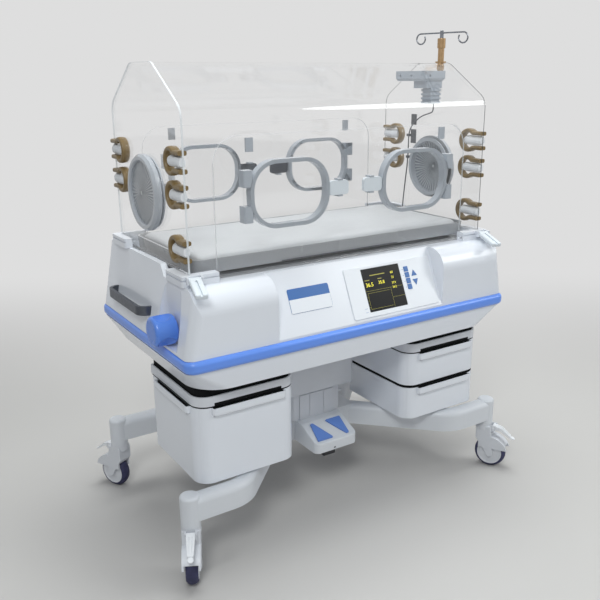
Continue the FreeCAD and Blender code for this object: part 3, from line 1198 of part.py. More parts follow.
def port_latch(sx, side):
    """Paddle rocking on a pin beside the door's free edge."""
    nose = S.port_x - S.port_w / 2 - 1.5
    y0 = side * (S.latch_y - S.latch_thick / 2)
    y1 = side * (S.latch_y + S.latch_thick / 2)
    xs = sorted((sx * nose, sx * (nose - S.latch_w)))
    half = S.latch_h / 2
    paddle = box(xs[0], xs[1], min(y0, y1), max(y0, y1), S.port_z - half, S.port_z + half)
    paddle = paddle.makeFillet(9, [e for e in paddle.Edges if runs("Y")(e)])
    pin = Part.makeCylinder(S.latch_pin_r, S.latch_h + 8, Vector(sx * S.latch_x, side * S.latch_y,
                                                                S.port_z - half - 4))
    return paddle.fuse(pin)


for mark, sx, side, turn in CORNERS:
    node("port_door_" + mark, made("door_" + mark, port_door(sx, side)))
    node("port_latch_" + mark, made("latch_" + mark, port_latch(sx, side)))


# Bed: cradle, tray and mattress, tilting about a pin at each end
def cradle_shape():
    low = S.tilt_z - S.cradle_thick / 2
    out = box(-S.cradle_x, S.cradle_x, -S.cradle_y, S.cradle_y, low, low + S.cradle_thick)
    bar = S.cradle_bar
    gaps = [box(x0, x1, -S.cradle_y + bar, S.cradle_y - bar, low - 1, low + S.cradle_thick + 1)
            for x0, x1 in ((-S.cradle_x + bar, -bar / 2), (bar / 2, S.cradle_x - bar))]
    reach = S.cradle_y + 8
    deck_pin = Part.makeCylinder(S.tilt_pin_r, 2 * reach, Vector(-S.tilt_x, -reach, S.tilt_z), Vector(0, 1, 0))
    tray_pin = Part.makeCylinder(S.tilt_pin_r, 2 * reach, Vector(S.tilt_x, -reach, S.tilt_z), Vector(0, 1, 0))
    return out.cut(gaps).fuse([deck_pin, tray_pin])


def tray_shape():
    low, top, wall = S.tray_low, S.tray_top, S.tray_wall
    out = loft(loop(S.tray_x - 4, S.tray_y - 4, S.tray_r - 4, low), loop(S.tray_x, S.tray_y, S.tray_r, top))
    hollow = loft(loop(S.tray_x - 4 - wall, S.tray_y - 4 - wall, S.tray_r - 4 - wall, low + wall),
                  loop(S.tray_x - wall, S.tray_y - wall, S.tray_r - wall, top))
    lugs = []
    for side in (-1, 1):
        y = side * (S.cradle_y + S.case_gap)
        lugs.append(box(S.tilt_x - 8, S.tilt_x + 8, min(y, y + side * 8), max(y, y + side * 8), S.tilt_z - 5, low + 1))
    bore = Part.makeCylinder(S.tilt_pin_r + S.fit_gap, 500, Vector(S.tilt_x, -250, S.tilt_z), Vector(0, 1, 0))
    return out.cut(hollow).fuse(lugs).cut(bore)


def mattress_shape():
    low = S.tray_low + S.tray_wall + S.case_gap
    half_x = S.tray_x - S.tray_wall - S.mattress_in - 4
    half_y = S.tray_y - S.tray_wall - S.mattress_in - 4
    pad = loft(loop(half_x, half_y, S.tray_r - 8, low), loop(half_x, half_y, S.tray_r - 8, S.mattress_top))
    return pad.makeFillet(6, [e for e in pad.Edges if level(S.mattress_top)(e)])


node("bed_cradle", made("cradle", cradle_shape()))
node("mattress_tray", made("tray", tray_shape()))
node("mattress", made("mattress_pad", mattress_shape()))


# Sensor head hung from the pole's foot, with a neck and a ribbed probe
def sensor_shape():
    x0, x1 = S.head_x - S.head_w / 2, S.head_x + S.head_w / 2
    half = S.head_d / 2
    head = box(x0, x1, -half, half, S.head_low, S.head_top)
    head = head.makeFillet(8, [e for e in head.Edges if runs("Z")(e)])
    head = head.makeChamfer(7, [e for e in head.Edges if level(S.head_low)(e)])
    neck_box = box(S.head_x - 25, S.head_x + 37, -58, 0, S.head_low - 21, S.head_low + 1)
    core = box(S.head_x - 8, S.head_x + 28, -58, -22, S.head_low - 66, S.head_low - 20)
    ribs = [box(S.head_x - 11, S.head_x + 31, -61, -19, S.head_low - 66 + 12 * k, S.head_low - 60 + 12 * k)
            for k in range(4)]
    jacks = [Part.makeCylinder(4, 6, Vector(x0 - 1, y, (S.head_low + S.head_top) / 2), Vector(1, 0, 0))
             for y in (-10, 42)]
    jacks.append(Part.makeCylinder(4, 6, Vector(x0 + 22, -half - 1, (S.head_low + S.head_top) / 2), Vector(0, 1, 0)))
    return head.fuse([neck_box, core] + ribs).cut(jacks)


node("sensor_head", made("sensor", sensor_shape()))


# Probe hose on the right end wall: straight runs joined by tangent arcs, held by two clips
def hose_shape():
    points = [Vector(S.head_x + 22, -40, S.head_low - 66), Vector(S.head_x + 22, -40, S.head_low - 92),
              Vector(S.hose_x - 6, 40, S.head_low - 110), Vector(S.hose_x, S.hose_y, S.head_low - 150),
              Vector(S.hose_x, S.hose_y, S.head_low - 250), Vector(S.hose_x, S.hose_y + 14, S.head_low - 350),
              Vector(S.hose_x - 6, S.hose_y + 18, S.pod_top + S.case_gap)]
    edges = []
    last = points[0]
    for before, here, after in zip(points, points[1:], points[2:]):
        a, b = (before - here), (after - here)
        shorter = min(a.Length, b.Length)
        a.normalize()
        b.normalize()
        reach = 0.45 * shorter
        first, second = here + a * reach, here + b * reach
        half_turn = (math.pi - math.acos(max(-1, min(1, a.dot(b))))) / 2
        radius = reach / math.tan(half_turn)
        middle = here + (a + b).normalize() * (radius / math.cos(half_turn) - radius)
        edges += [Part.LineSegment(last, first).toShape(), Part.Arc(first, middle, second).toShape()]
        last = second
    edges.append(Part.LineSegment(last, points[-1]).toShape())
    path = Part.Wire(edges)
    start = points[1] - points[0]
    circle = Part.Wire(Part.Circle(points[0], start, S.hose_r).toShape())
    hose = path.makePipeShell([circle], True, False)
    clips = []
    wall = S.hood_x - S.hood_wall
    for z in (S.head_low - 170, S.head_low - 240):
        clip = box(S.hose_x - 4, wall, S.hose_y - 6, S.hose_y + 6, z - 4, z + 4)
        clips.append(clip.cut(Part.makeCylinder(S.hose_r + S.fit_gap, 20, Vector(S.hose_x, S.hose_y, z - 10))))
    strips = [box(wall - 2, wall, S.hose_y - 32, S.hose_y - 8, S.head_low - drop, S.head_low - drop + tall)
              for drop, tall in ((137, 34), (195, 44))]
    return Part.Compound([hose] + clips + strips)


node("probe_hose", made("hose", hose_shape()))


# Pole through the roof with a collar and a sliding hook rod
def pole_shape():
    foot = Vector(S.pole_x, -S.pole_y, S.head_top)
    tube = Part.makeCylinder(S.pole_r, S.pole_top - S.head_top, foot)
    collar = Part.makeCylinder(S.collar_r, S.pole_top - S.collar_low, Vector(foot.x, foot.y, S.collar_low))
    collar = collar.makeFillet(2, [e for e in collar.Edges if level(S.pole_top)(e)])
    flange = Part.makeCylinder(16, 4, Vector(foot.x, foot.y, S.ridge_z))
    nut_low = S.ridge_z - S.hood_wall - 1.5 - 12
    nut = Part.makeCylinder(11, 12, Vector(foot.x, foot.y, nut_low))
    bore = Part.makeCylinder(S.hook_rod_r + S.fit_gap, S.pole_top, Vector(foot.x, foot.y, S.head_top + 5))
    return tube.fuse([collar, flange, nut]).cut(bore)


def hook_shape():
    axis = Vector(S.pole_x, -S.pole_y, 0)
    rod_low = S.head_top + 6
    rod_solid = Part.makeCylinder(S.hook_rod_r, S.hook_top - rod_low, Vector(axis.x, axis.y, rod_low))
    rod_solid = rod_solid.makeFillet(2, [e for e in rod_solid.Edges if level(S.hook_top)(e)])
    bar_z = S.hook_top - 7
    wire = S.hook_wire_r
    bar = Part.makeCylinder(wire, 2 * S.hook_span - 2 * S.hook_ring_r, Vector(-S.hook_span + S.hook_ring_r, 0, bar_z),
                            Vector(1, 0, 0))
    rings = []
    for sign in (-1, 1):
        ring = Part.makeTorus(S.hook_ring_r, wire, Vector(), UP, 0, 360, 300)
        ring.rotate(Vector(), Vector(1, 0, 0), 90)
        ring.rotate(Vector(), Vector(0, 1, 0), -90)
        if sign > 0:
            ring = mirror_x(ring)
        ring.translate(Vector(sign * (S.hook_span - S.hook_ring_r), 0, bar_z - S.hook_ring_r))
        rings.append(ring)
    hooks = bar.fuse(rings)
    hooks.rotate(Vector(), UP, S.hook_turn)
    hooks.translate(axis)
    return rod_solid.fuse(hooks)


node("pole_tube", made("pole", pole_shape()))
node("pole_hook", made("hook", hook_shape()))


# Drawer cases and drawers, drawn on the left side and mirrored for the right
def plan_block(front_r, low, high, back_y):
    """A case-shaped block with its two front corners rounded."""
    solid = box(-S.case_out, -S.case_in, -S.case_front, back_y, low, high)
    fronts = [e for e in solid.Edges if runs("Z")(e) and e.CenterOfMass.y < 0]
    return solid.makeFillet(front_r, fronts)


def half_corner(x, y, radius, low, high, start):
    """An eighth of a turn of upright wall round a corner."""
    wall = S.sheet_wall
    piece = Part.makeCylinder(radius, high - low, Vector(), UP, 45)
    piece = piece.cut(Part.makeCylinder(radius - wall, high - low, Vector(), UP, 45))
    piece.rotate(Vector(), UP, start)
    piece.translate(Vector(x, y, low))
    return piece


def open_box(low, top, back_y, back_top, slot):
    """A floor, its walls and rounded front corners as plates; slot lowers two walls in the middle."""
    wall, radius = S.sheet_wall, S.case_r
    foot = low + wall
    half = S.lip_long / 2 - S.lip_skin
    turn_y = -S.case_front + radius
    left, right = -S.case_out + radius, -S.case_in - radius
    middle_x, middle_y = -(S.case_out + S.case_in) / 2, -(S.case_front - S.case_back) / 2
    plates = [plan_block(radius, low, foot, back_y),
              box(-S.case_in - wall, -S.case_in, turn_y, back_y, foot, top),
              box(-S.case_out + wall, -S.case_in - wall, back_y - wall, back_y, foot, back_top)]
    for spans, middle, place in (((left, right), middle_x, "front"), ((turn_y, back_y), middle_y, "side")):
        cells = [(spans[0], spans[1], foot, top - slot)]
        if slot:
            cells += [(spans[0], middle - half, top - slot, top), (middle + half, spans[1], top - slot, top)]
        for t0, t1, z0, z1 in cells:
            if place == "front":
                plates.append(box(t0, t1, -S.case_front, -S.case_front + wall, z0, z1))
            else:
                plates.append(box(-S.case_out, -S.case_out + wall, t0, t1, z0, z1))
    plates += [half_corner(left, turn_y, radius, foot, top, start) for start in (180, 225)]
    plates += [half_corner(right, turn_y, radius, foot, top, start) for start in (270, 315)]
    return plates


def rails(top):
    """Two runners under a plate at top, each an L that opens outwards."""
    wall, y0, y1 = S.sheet_wall, -S.case_front + 56, S.case_back - S.sheet_wall
    pieces = []
    for x, way in ((-S.case_out + wall + 12, -1), (-S.case_in - wall - 12, 1)):
        web_x = sorted((x, x - way * wall))
        foot_x = sorted((x, x + way * S.rail_foot))
        pieces.append(box(web_x[0], web_x[1], y0, y1, top - S.rail_leg, top))
        pieces.append(box(foot_x[0], foot_x[1], y0, y1, top - S.rail_leg, top - S.rail_leg + S.rail_thick))
    return pieces


def case_shape(split):
    """A tray under the pan on four posts, a back sheet and runners, each plate its own solid."""
    wall, post = S.sheet_wall, 40
    pieces = open_box(S.case_low, S.case_top, S.case_back, S.case_top, 0)
    spots = [(x, y) for x in (-S.case_out + 25, -S.case_in - 86) for y in (-S.case_front + 80, S.case_back - 85)]
    pieces += [box(x, x + post, y, y + post, S.case_low + wall, S.pan_low) for x, y in spots]
    pieces.append(box(-S.case_out + 12, -S.case_in - 12, S.case_back - wall, S.case_back, S.drawer_low + 20, S.case_low))
    pieces += rails(S.case_low)
    if split:
        pieces.append(box(-S.case_out + 12, -S.case_in - 12, -S.case_front + 50, S.case_back - wall,
                          S.drawer_split - wall / 2, S.drawer_split + wall / 2))
        pieces += rails(S.drawer_split - wall / 2)
    return pieces


def finger_lip(top, length):
    """A scoop for fingers: front, floor and ends on a face, drawn on the XZ plane at y 0."""
    half, skin = length / 2, S.lip_skin
    low = top - S.lip_high
    out = box(-half, half, -S.lip_out, 0, low, top)
    out = out.makeFillet(S.lip_out - 3, [e for e in out.Edges if runs("Z")(e) and e.CenterOfMass.y < -1])
    out = out.makeFillet(S.lip_round, [e for e in out.Edges if runs("Y")(e) and e.CenterOfMass.z < low + 1])
    inner = -S.lip_out + skin
    cells = [box(-half, half, -S.lip_out, inner, low, top), box(-half, half, inner, 0, low, low + skin),
             box(-half, -half + skin, inner, 0, low + skin, top), box(half - skin, half, inner, 0, low + skin, top)]
    return [out.common(cell) for cell in cells]


def drawer_shape(low, top):
    """An open box with finger lips and runner ledges laid against it, each plate its own solid."""
    wall = S.sheet_wall
    back_y = S.case_back - 3 * wall
    pieces = open_box(low, top, back_y, top - S.rail_leg - 8, S.slot_high)
    middle_x, middle_y = -(S.case_out + S.case_in) / 2, -(S.case_front - S.case_back) / 2
    for part in finger_lip(top, S.lip_long):
        front, side = part.copy(), part.copy()
        front.translate(Vector(middle_x, -S.case_front, 0))
        side.rotate(Vector(), UP, -90)
        side.translate(Vector(-S.case_out, middle_y, 0))
        pieces += [front, side]
    foot = top + S.seam - S.rail_leg + S.rail_thick + S.case_gap
    for x, way in ((-S.case_out + wall, 1), (-S.case_in - wall, -1)):
        reach = x + way * (S.rail_foot - 1)
        pieces.append(box(min(x, reach), max(x, reach), -S.case_front + 58, back_y - wall, foot, foot + S.rail_thick))
    return pieces


cases = case_shape(False) + [mirror_x(piece) for piece in case_shape(True)]
node("drawer_cases", made("cases", Part.Compound(cases)))
lower_top = S.drawer_split - S.sheet_wall / 2 - S.seam
upper_low = S.drawer_split + S.sheet_wall / 2 + 1
right_upper = [mirror_x(piece) for piece in drawer_shape(upper_low, S.drawer_top)]
right_lower = [mirror_x(piece) for piece in drawer_shape(S.drawer_low, lower_top)]
node("drawer_left", made("drawer_left_shape", Part.Compound(drawer_shape(S.drawer_low, S.drawer_top))))
node("drawer_right_upper", made("drawer_ru_shape", Part.Compound(right_upper)))
node("drawer_right_lower", made("drawer_rl_shape", Part.Compound(right_lower)))


def check_and_export():
    doc.recompute()
    for obj in doc.Objects:
        if "Invalid" in obj.State or "Error" in obj.State:
            raise RuntimeError("object failed: " + obj.Name + " " + str(obj.State))
    os.makedirs("parts", exist_ok=True)
    for name, obj in nodes.items():
        shape = obj.Shape
        if shape.isNull() or not shape.isValid() or not shape.Solids:
            raise RuntimeError("shape is not a valid solid: " + name)
    for name, obj in nodes.items():
        obj.Shape.exportStep("parts/%s.step" % name)
    print("nodes", len(nodes))


check_and_export()
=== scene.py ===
"""Infant incubator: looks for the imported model.

Everything is in metres in the model's own frame: X along the length, -Y the nurse's side, Z up from the floor.
"""
import bmesh
import bpy
import json
import math
import numpy as np
from mathutils import Matrix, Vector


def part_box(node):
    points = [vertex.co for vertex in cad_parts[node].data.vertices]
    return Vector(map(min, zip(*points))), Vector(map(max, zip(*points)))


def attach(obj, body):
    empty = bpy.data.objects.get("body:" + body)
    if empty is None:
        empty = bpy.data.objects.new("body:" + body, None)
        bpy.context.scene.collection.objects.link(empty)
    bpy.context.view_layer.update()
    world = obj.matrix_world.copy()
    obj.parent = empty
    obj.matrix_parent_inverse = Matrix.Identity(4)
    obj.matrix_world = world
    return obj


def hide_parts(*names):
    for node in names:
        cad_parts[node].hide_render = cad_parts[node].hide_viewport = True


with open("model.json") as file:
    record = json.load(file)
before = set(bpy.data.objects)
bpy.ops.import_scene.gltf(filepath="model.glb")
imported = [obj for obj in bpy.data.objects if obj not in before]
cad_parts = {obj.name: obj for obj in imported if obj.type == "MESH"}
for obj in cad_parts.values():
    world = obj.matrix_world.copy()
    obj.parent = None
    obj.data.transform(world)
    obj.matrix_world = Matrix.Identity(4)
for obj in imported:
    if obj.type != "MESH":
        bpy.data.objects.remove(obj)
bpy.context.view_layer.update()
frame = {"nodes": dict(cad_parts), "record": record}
NODES = frame["nodes"]
MM = 0.001


# Camera: the photograph's own place and angle
def place_camera():
    """The view's right, down and forward rows are the camera's axes; 600 pixels span the 36 mm sensor."""
    right = (0.83960861, -0.54313487, -0.00786745)
    down = (-0.16339471, -0.23871886, -0.95724369)
    ahead = (0.51803431, 0.80499554, -0.28917577)
    place = (-1.1677, -1.7816, 1.2329)
    data = bpy.data.cameras.new("view")
    data.sensor_width = 36
    data.lens = 44.1156
    data.clip_start = 0.05
    camera = bpy.data.objects.new("view", data)
    bpy.context.scene.collection.objects.link(camera)
    rows = [[right[k], -down[k], -ahead[k], place[k]] for k in range(3)] + [[0, 0, 0, 1]]
    camera.matrix_world = Matrix(rows)
    bpy.context.scene.camera = camera


place_camera()


# Mesh making
SHARP = math.radians(50)
WELD = 1e-6


def mesh_object(name, points, faces, smooth=True):
    """A new object at the origin from an array of points and a list of faces."""
    mesh = bpy.data.meshes.new(name)
    mesh.from_pydata(np.asarray(points, float).reshape(-1, 3).tolist(), [], [list(map(int, f)) for f in faces])
    mesh.update()
    obj = bpy.data.objects.new(name, mesh)
    bpy.context.scene.collection.objects.link(obj)
    mesh.shade_smooth() if smooth else mesh.shade_flat()
    return obj


def quads(rows, cols, wrap=True):
    """Four-cornered faces between neighbouring points of a grid; wrap joins the last column to the first."""
    i = np.arange(rows - 1)[:, None]
    j = np.arange(cols if wrap else cols - 1)[None, :]
    i2, j2 = i + 1, (j + 1) % cols
    return np.stack([i * cols + j, i * cols + j2, i2 * cols + j2, i2 * cols + j], -1).reshape(-1, 4)


def join_grids(name, grids, smooth=True):
    """One object from several grids of rings; each grid's first and last ring are closed with one face."""
    points, faces, base = [], [], 0
    for grid in grids:
        grid = np.asarray(grid, float)
        rows, cols = grid.shape[:2]
        points.append(grid.reshape(-1, 3))
        faces += (quads(rows, cols) + base).tolist()
        faces.append([base + k for k in range(cols)][::-1])
        faces.append([base + (rows - 1) * cols + k for k in range(cols)])
        base += rows * cols
    made = outward(mesh_object(name, np.concatenate(points), faces, smooth))
    if smooth:
        made.data.set_sharp_from_angle(angle=SHARP)
    return made


def outward(obj, weld=False):
    """Turn every face of a closed mesh to face out; weld joins points that share a place first."""
    work = bmesh.new()
    work.from_mesh(obj.data)
    if weld:
        bmesh.ops.remove_doubles(work, verts=work.verts, dist=WELD)
    bmesh.ops.recalc_face_normals(work, faces=work.faces)
    work.to_mesh(obj.data)
    work.free()
    return obj


def round_profile(width, depth, power, count=16):
    """A squarish oval: |a/width|^power + |b/depth|^power = 1, as half sizes."""
    t = np.linspace(0, 2 * np.pi, count, endpoint=False)
    c, s = np.cos(t), np.sin(t)
    return np.stack([width * np.sign(c) * np.abs(c) ** (2 / power),
                     depth * np.sign(s) * np.abs(s) ** (2 / power)], 1)


def moulding(path, normal, profile):
    """A profile carried along an open flat path: a along the plane's normal, b across the path in the plane."""
    path = np.asarray(path, float)
    normal = np.asarray(normal, float)
    along = np.gradient(path, axis=0)
    along /= np.linalg.norm(along, axis=1)[:, None]
    side = np.cross(along, normal)
    profile = np.asarray(profile, float)
    return path[:, None] + profile[None, :, :1] * normal + profile[None, :, 1:] * side[:, None]


def rounded_loop(half_w, half_h, radius, per_corner=12):
    """A rounded rectangle in two coordinates: four quarter circles joined by the straight sides between them."""
    t = np.linspace(0, np.pi / 2, per_corner)
    corners = []
    for quarter, (sx, sy) in enumerate(((1, 1), (-1, 1), (-1, -1), (1, -1))):
        a = t + quarter * np.pi / 2
        corners.append(np.stack([sx * (half_w - radius) + radius * np.cos(a),
                                 sy * (half_h - radius) + radius * np.sin(a)], 1))
    return np.concatenate(corners)


def bent_line(corners, radius, per_bend=7):
    """Straight runs joined by arcs of one radius, each arc turned evenly between its two tangent points."""
    corners = np.asarray(corners, float)
    line = [corners[:1]]
    for before, corner, after in zip(corners, corners[1:], corners[2:]):
        u, v = before - corner, after - corner
        u, v = u / np.linalg.norm(u), v / np.linalg.norm(v)
        half = math.acos(float(np.clip(u @ v, -1, 1))) / 2
        centre = corner + (u + v) / np.linalg.norm(u + v) * radius / math.sin(half)
        first = corner + u * radius / math.tan(half) - centre
        last = corner + v * radius / math.tan(half) - centre
        turn = math.pi - 2 * half
        share = np.linspace(0, 1, per_bend)[:, None]
        swung = first * np.sin((1 - share) * turn) + last * np.sin(share * turn)
        line.append(centre + swung / math.sin(turn))
    line.append(corners[-1:])
    return np.concatenate(line)


# Materials
def linear(code):
    """An sRGB hex colour as linear light."""
    value = [int(code[k:k + 2], 16) / 255 for k in (1, 3, 5)]
    return tuple(v / 12.92 if v <= 0.04045 else ((v + 0.055) / 1.055) ** 2.4 for v in value) + (1.0,)


def put(tree, kind, inputs=(), **settings):
    """Add one node with its settings; inputs maps a socket to a value or to the socket that feeds it."""
    made = tree.nodes.new(kind)
    for key, value in settings.items():
        setattr(made, key, value)
    for key, value in dict(inputs).items():
        if isinstance(value, bpy.types.NodeSocket):
            tree.links.new(value, made.inputs[key])
        else:
            made.inputs[key].default_value = value
    return made


def blank(name):
    """A new material and its empty node tree."""
    mat = bpy.data.materials.new(name)
    mat.use_nodes = True
    mat.node_tree.nodes.clear()
    return mat, mat.node_tree


def show(tree, shader):
    """Feed a shader to the material's output."""
    put(tree, "ShaderNodeOutputMaterial", {"Surface": shader})


def mottled(tree, light, dark, scale_mm, contrast=0.5):
    """Slow colour drift between two close shades; scale is the size of one blotch."""
    place = put(tree, "ShaderNodeTexCoord").outputs["Object"]
    cloud = put(tree, "ShaderNodeTexNoise", {"Vector": place, "Scale": 1000 / scale_mm, "Detail": 3.0})
    ramp = put(tree, "ShaderNodeValToRGB", {"Fac": cloud.outputs["Fac"]})
    ramp.color_ramp.elements[0].position = 0.5 - contrast / 2
    ramp.color_ramp.elements[1].position = 0.5 + contrast / 2
    ramp.color_ramp.elements[0].color = linear(dark)
    ramp.color_ramp.elements[1].color = linear(light)
    return ramp.outputs["Color"]


def grain(tree, size_mm, depth_mm):
    """Surface grain as bump over edges that look rounded by 1.2 mm."""
    place = put(tree, "ShaderNodeTexCoord").outputs["Object"]
    edge = put(tree, "ShaderNodeBevel", {"Radius": 1.2 * MM}, samples=3)
    noise = put(tree, "ShaderNodeTexNoise", {"Vector": place, "Scale": 1000 / size_mm, "Detail": 2.0})
    return put(tree, "ShaderNodeBump", {"Height": noise.outputs["Fac"], "Distance": depth_mm * MM,
                                        "Strength": 0.4, "Normal": edge.outputs["Normal"]}).outputs["Normal"]


def rough_patches(tree, low, high, scale_mm):
    """Roughness that wanders between two values, as handling leaves it."""
    place = put(tree, "ShaderNodeTexCoord").outputs["Object"]
    noise = put(tree, "ShaderNodeTexNoise", {"Vector": place, "Scale": 1000 / scale_mm, "Detail": 4.0})
    span = put(tree, "ShaderNodeMapRange", {"Value": noise.outputs["Fac"], "From Min": 0.3, "From Max": 0.7,
                                            "To Min": low, "To Max": high})
    return span.outputs["Result"]


def moulded(name, light, dark, rough, grain_mm=0.9, depth_mm=0.02, coat=0.0, ior=1.5):
    """A moulded or coated solid: two close shades, patchy roughness and a fine grain."""
    mat, tree = blank(name)
    shader = put(tree, "ShaderNodeBsdfPrincipled",
                 {"Base Color": mottled(tree, light, dark, 260, 0.7), "IOR": ior, "Coat Weight": coat,
                  "Coat Roughness": 0.12, "Roughness": rough_patches(tree, rough[0], rough[1], 120),
                  "Normal": grain(tree, grain_mm, depth_mm)})
    show(tree, shader.outputs["BSDF"])
    return mat


def metal(name, light, dark, rough, stretch=(1, 1, 1)):
    """Bare metal with lines 0.8 mm apart, drawn out along the axis that stretch shortens."""
    mat, tree = blank(name)
    place = put(tree, "ShaderNodeTexCoord").outputs["Object"]
    drawn = put(tree, "ShaderNodeMapping", {"Vector": place, "Scale": stretch})
    noise = put(tree, "ShaderNodeTexNoise", {"Vector": drawn.outputs["Vector"], "Scale": 1000 / 0.8,
                                             "Detail": 2.0})
    bump = put(tree, "ShaderNodeBump", {"Height": noise.outputs["Fac"], "Distance": 0.02 * MM, "Strength": 0.5})
    shader = put(tree, "ShaderNodeBsdfPrincipled",
                 {"Base Color": mottled(tree, light, dark, 12), "Metallic": 1.0,
                  "Roughness": rough_patches(tree, rough[0], rough[1], 8), "Normal": bump.outputs["Normal"]})
    show(tree, shader.outputs["BSDF"])
    return mat


def clear_sheet(name, haze):
    """Clear acrylic: see-through with a breath of haze, and a mirror share of 0.04 + 0.96 f^5 (Schlick)."""
    mat, tree = blank(name)
    place = put(tree, "ShaderNodeTexCoord").outputs["Object"]
    dust = put(tree, "ShaderNodeTexNoise", {"Vector": place, "Scale": 4.0, "Detail": 5.0})
    veil = put(tree, "ShaderNodeMapRange", {"Value": dust.outputs["Fac"], "From Min": 0.3, "From Max": 0.75,
                                            "To Min": haze * 0.5, "To Max": haze * 1.5})
    facing = put(tree, "ShaderNodeLayerWeight", {"Blend": 0.5}).outputs["Facing"]
    steep = put(tree, "ShaderNodeMath", {0: facing, 1: 5.0}, operation="POWER")
    clear = put(tree, "ShaderNodeBsdfTransparent", {"Color": linear("#ffffff")})
    film = put(tree, "ShaderNodeBsdfDiffuse", {"Color": linear("#f4f7fb")})
    gloss = put(tree, "ShaderNodeBsdfGlossy", {"Color": linear("#ffffff"), "Roughness": 0.03})
    dusty = put(tree, "ShaderNodeMixShader",
                {0: veil.outputs["Result"], 1: clear.outputs[0], 2: film.outputs[0]})
    share = put(tree, "ShaderNodeMath", {0: steep.outputs[0], 1: 0.96, 2: 0.04},
                operation="MULTIPLY_ADD")
    both = put(tree, "ShaderNodeMixShader", {0: share.outputs[0], 1: dusty.outputs[0], 2: gloss.outputs[0]})
    show(tree, both.outputs[0])
    return mat


def painted_edge_light(name, tone, share):
    """Painted light on the cut edge of an acrylic sheet: a paler line as painted highlight or a darker line as
    painted shade, solid by its share and clear for the rest.
    """
    mat, tree = blank(name)
    clear = put(tree, "ShaderNodeBsdfTransparent")
    solid = put(tree, "ShaderNodeBsdfPrincipled",
                {"Base Color": linear(tone), "Roughness": 0.12, "IOR": 1.49})
    both = put(tree, "ShaderNodeMixShader", {0: share, 1: clear.outputs[0], 2: solid.outputs[0]})
    show(tree, both.outputs[0])
    return mat


def lit(name, colour, strength):
    """A lit mark on a screen: it glows a little in its own colour."""
    mat, tree = blank(name)
    shader = put(tree, "ShaderNodeBsdfPrincipled",
                 {"Base Color": linear(colour), "Roughness": 0.4,
                  "Emission Color": linear(colour), "Emission Strength": strength})
    show(tree, shader.outputs["BSDF"])
    return mat


HUB_RADIUS = 39.2
FILM_RADIUS = 79
GLINT_RADIUS = 5
PLEATS = 48


def wheel_finish(name, centre, turn):
    """Dark tread outside the hub's radius, pale moulded hub inside; centre and turn place the axle."""
    mat, tree = blank(name)
    place = put(tree, "ShaderNodeTexCoord").outputs["Object"]
    local = put(tree, "ShaderNodeMapping", {"Vector": place, "Location": centre, "Rotation": (0, 0, turn)},
                vector_type="TEXTURE")
    flat = put(tree, "ShaderNodeVectorMath", {0: local.outputs["Vector"], 1: (0, 1, 1)}, operation="MULTIPLY")
    far = put(tree, "ShaderNodeVectorMath", {0: flat.outputs["Vector"]}, operation="LENGTH")
    rim = put(tree, "ShaderNodeMath", {0: far.outputs["Value"], 1: HUB_RADIUS * MM}, operation="GREATER_THAN")
    colour = put(tree, "ShaderNodeMix", {"Factor": rim.outputs[0], 6: mottled(tree, "#dfe1e6", "#d2d5db", 20),
                                         7: mottled(tree, "#34365a", "#2a2b4a", 12)}, data_type="RGBA")
    rough = put(tree, "ShaderNodeMapRange", {"Value": rim.outputs[0], "To Min": 0.38, "To Max": 0.62})
    shader = put(tree, "ShaderNodeBsdfPrincipled", {"Base Color": colour.outputs[2], "IOR": 1.5,
                                                    "Roughness": rough.outputs["Result"],
                                                    "Normal": grain(tree, 0.7, 0.03)})
    show(tree, shader.outputs["BSDF"])
    return mat


def pleated(name, centre):
    """Thin gathered film: pleats fan out from a painted highlight in the middle, their troughs darker as painted
    shade and their ridges paler as painted highlight; the ring round it stays smooth.
    """
    mat, tree = blank(name)
    place = put(tree, "ShaderNodeTexCoord").outputs["Object"]
    local = put(tree, "ShaderNodeVectorMath", {0: place, 1: centre}, operation="SUBTRACT")
    parts = put(tree, "ShaderNodeSeparateXYZ", {0: local.outputs["Vector"]})
    angle = put(tree, "ShaderNodeMath", {0: parts.outputs["Z"], 1: parts.outputs["Y"]}, operation="ARCTAN2")
    wave = put(tree, "ShaderNodeMath", {0: angle.outputs[0], 1: float(PLEATS)}, operation="MULTIPLY")
    ridge = put(tree, "ShaderNodeMath", {0: wave.outputs[0]}, operation="SINE")
    flat = put(tree, "ShaderNodeVectorMath", {0: local.outputs["Vector"], 1: (0, 1, 1)}, operation="MULTIPLY")
    far = put(tree, "ShaderNodeVectorMath", {0: flat.outputs["Vector"]}, operation="LENGTH")
    inside = put(tree, "ShaderNodeMath", {0: far.outputs["Value"], 1: FILM_RADIUS * MM}, operation="LESS_THAN")
    height = put(tree, "ShaderNodeMath", {0: ridge.outputs[0], 1: inside.outputs[0]}, operation="MULTIPLY")
    bump = put(tree, "ShaderNodeBump", {"Height": height.outputs[0], "Distance": 1.2 * MM, "Strength": 0.8,
                                        "Normal": grain(tree, 0.8, 0.01)})
    # the film's own grey, darker in the pleats' troughs as painted shade and paler on their ridges as painted
    # highlight
    shade = put(tree, "ShaderNodeMapRange", {"Value": height.outputs[0], "From Min": -1.0, "From Max": 1.0})
    film = put(tree, "ShaderNodeMix", {"Factor": shade.outputs["Result"], 6: linear("#868b91"),
                                       7: linear("#bcc0c5")}, data_type="RGBA")
    colour = put(tree, "ShaderNodeMix", {"Factor": inside.outputs[0], 6: mottled(tree, "#b8bdc4", "#b0b5bc", 60),
                                         7: film.outputs[2]}, data_type="RGBA")
    # painted highlight: a pale spot at the middle
    glint = put(tree, "ShaderNodeMath", {0: far.outputs["Value"], 1: GLINT_RADIUS * MM}, operation="LESS_THAN")
    middle = put(tree, "ShaderNodeMix", {"Factor": glint.outputs[0], 6: colour.outputs[2], 7: linear("#eceff2")},
                 data_type="RGBA")
    shader = put(tree, "ShaderNodeBsdfPrincipled",
                 {"Base Color": middle.outputs[2], "IOR": 1.5, "Roughness": 0.24,
                  "Coat Weight": 0.4, "Normal": bump.outputs["Normal"]})
    show(tree, shader.outputs["BSDF"])
    return mat


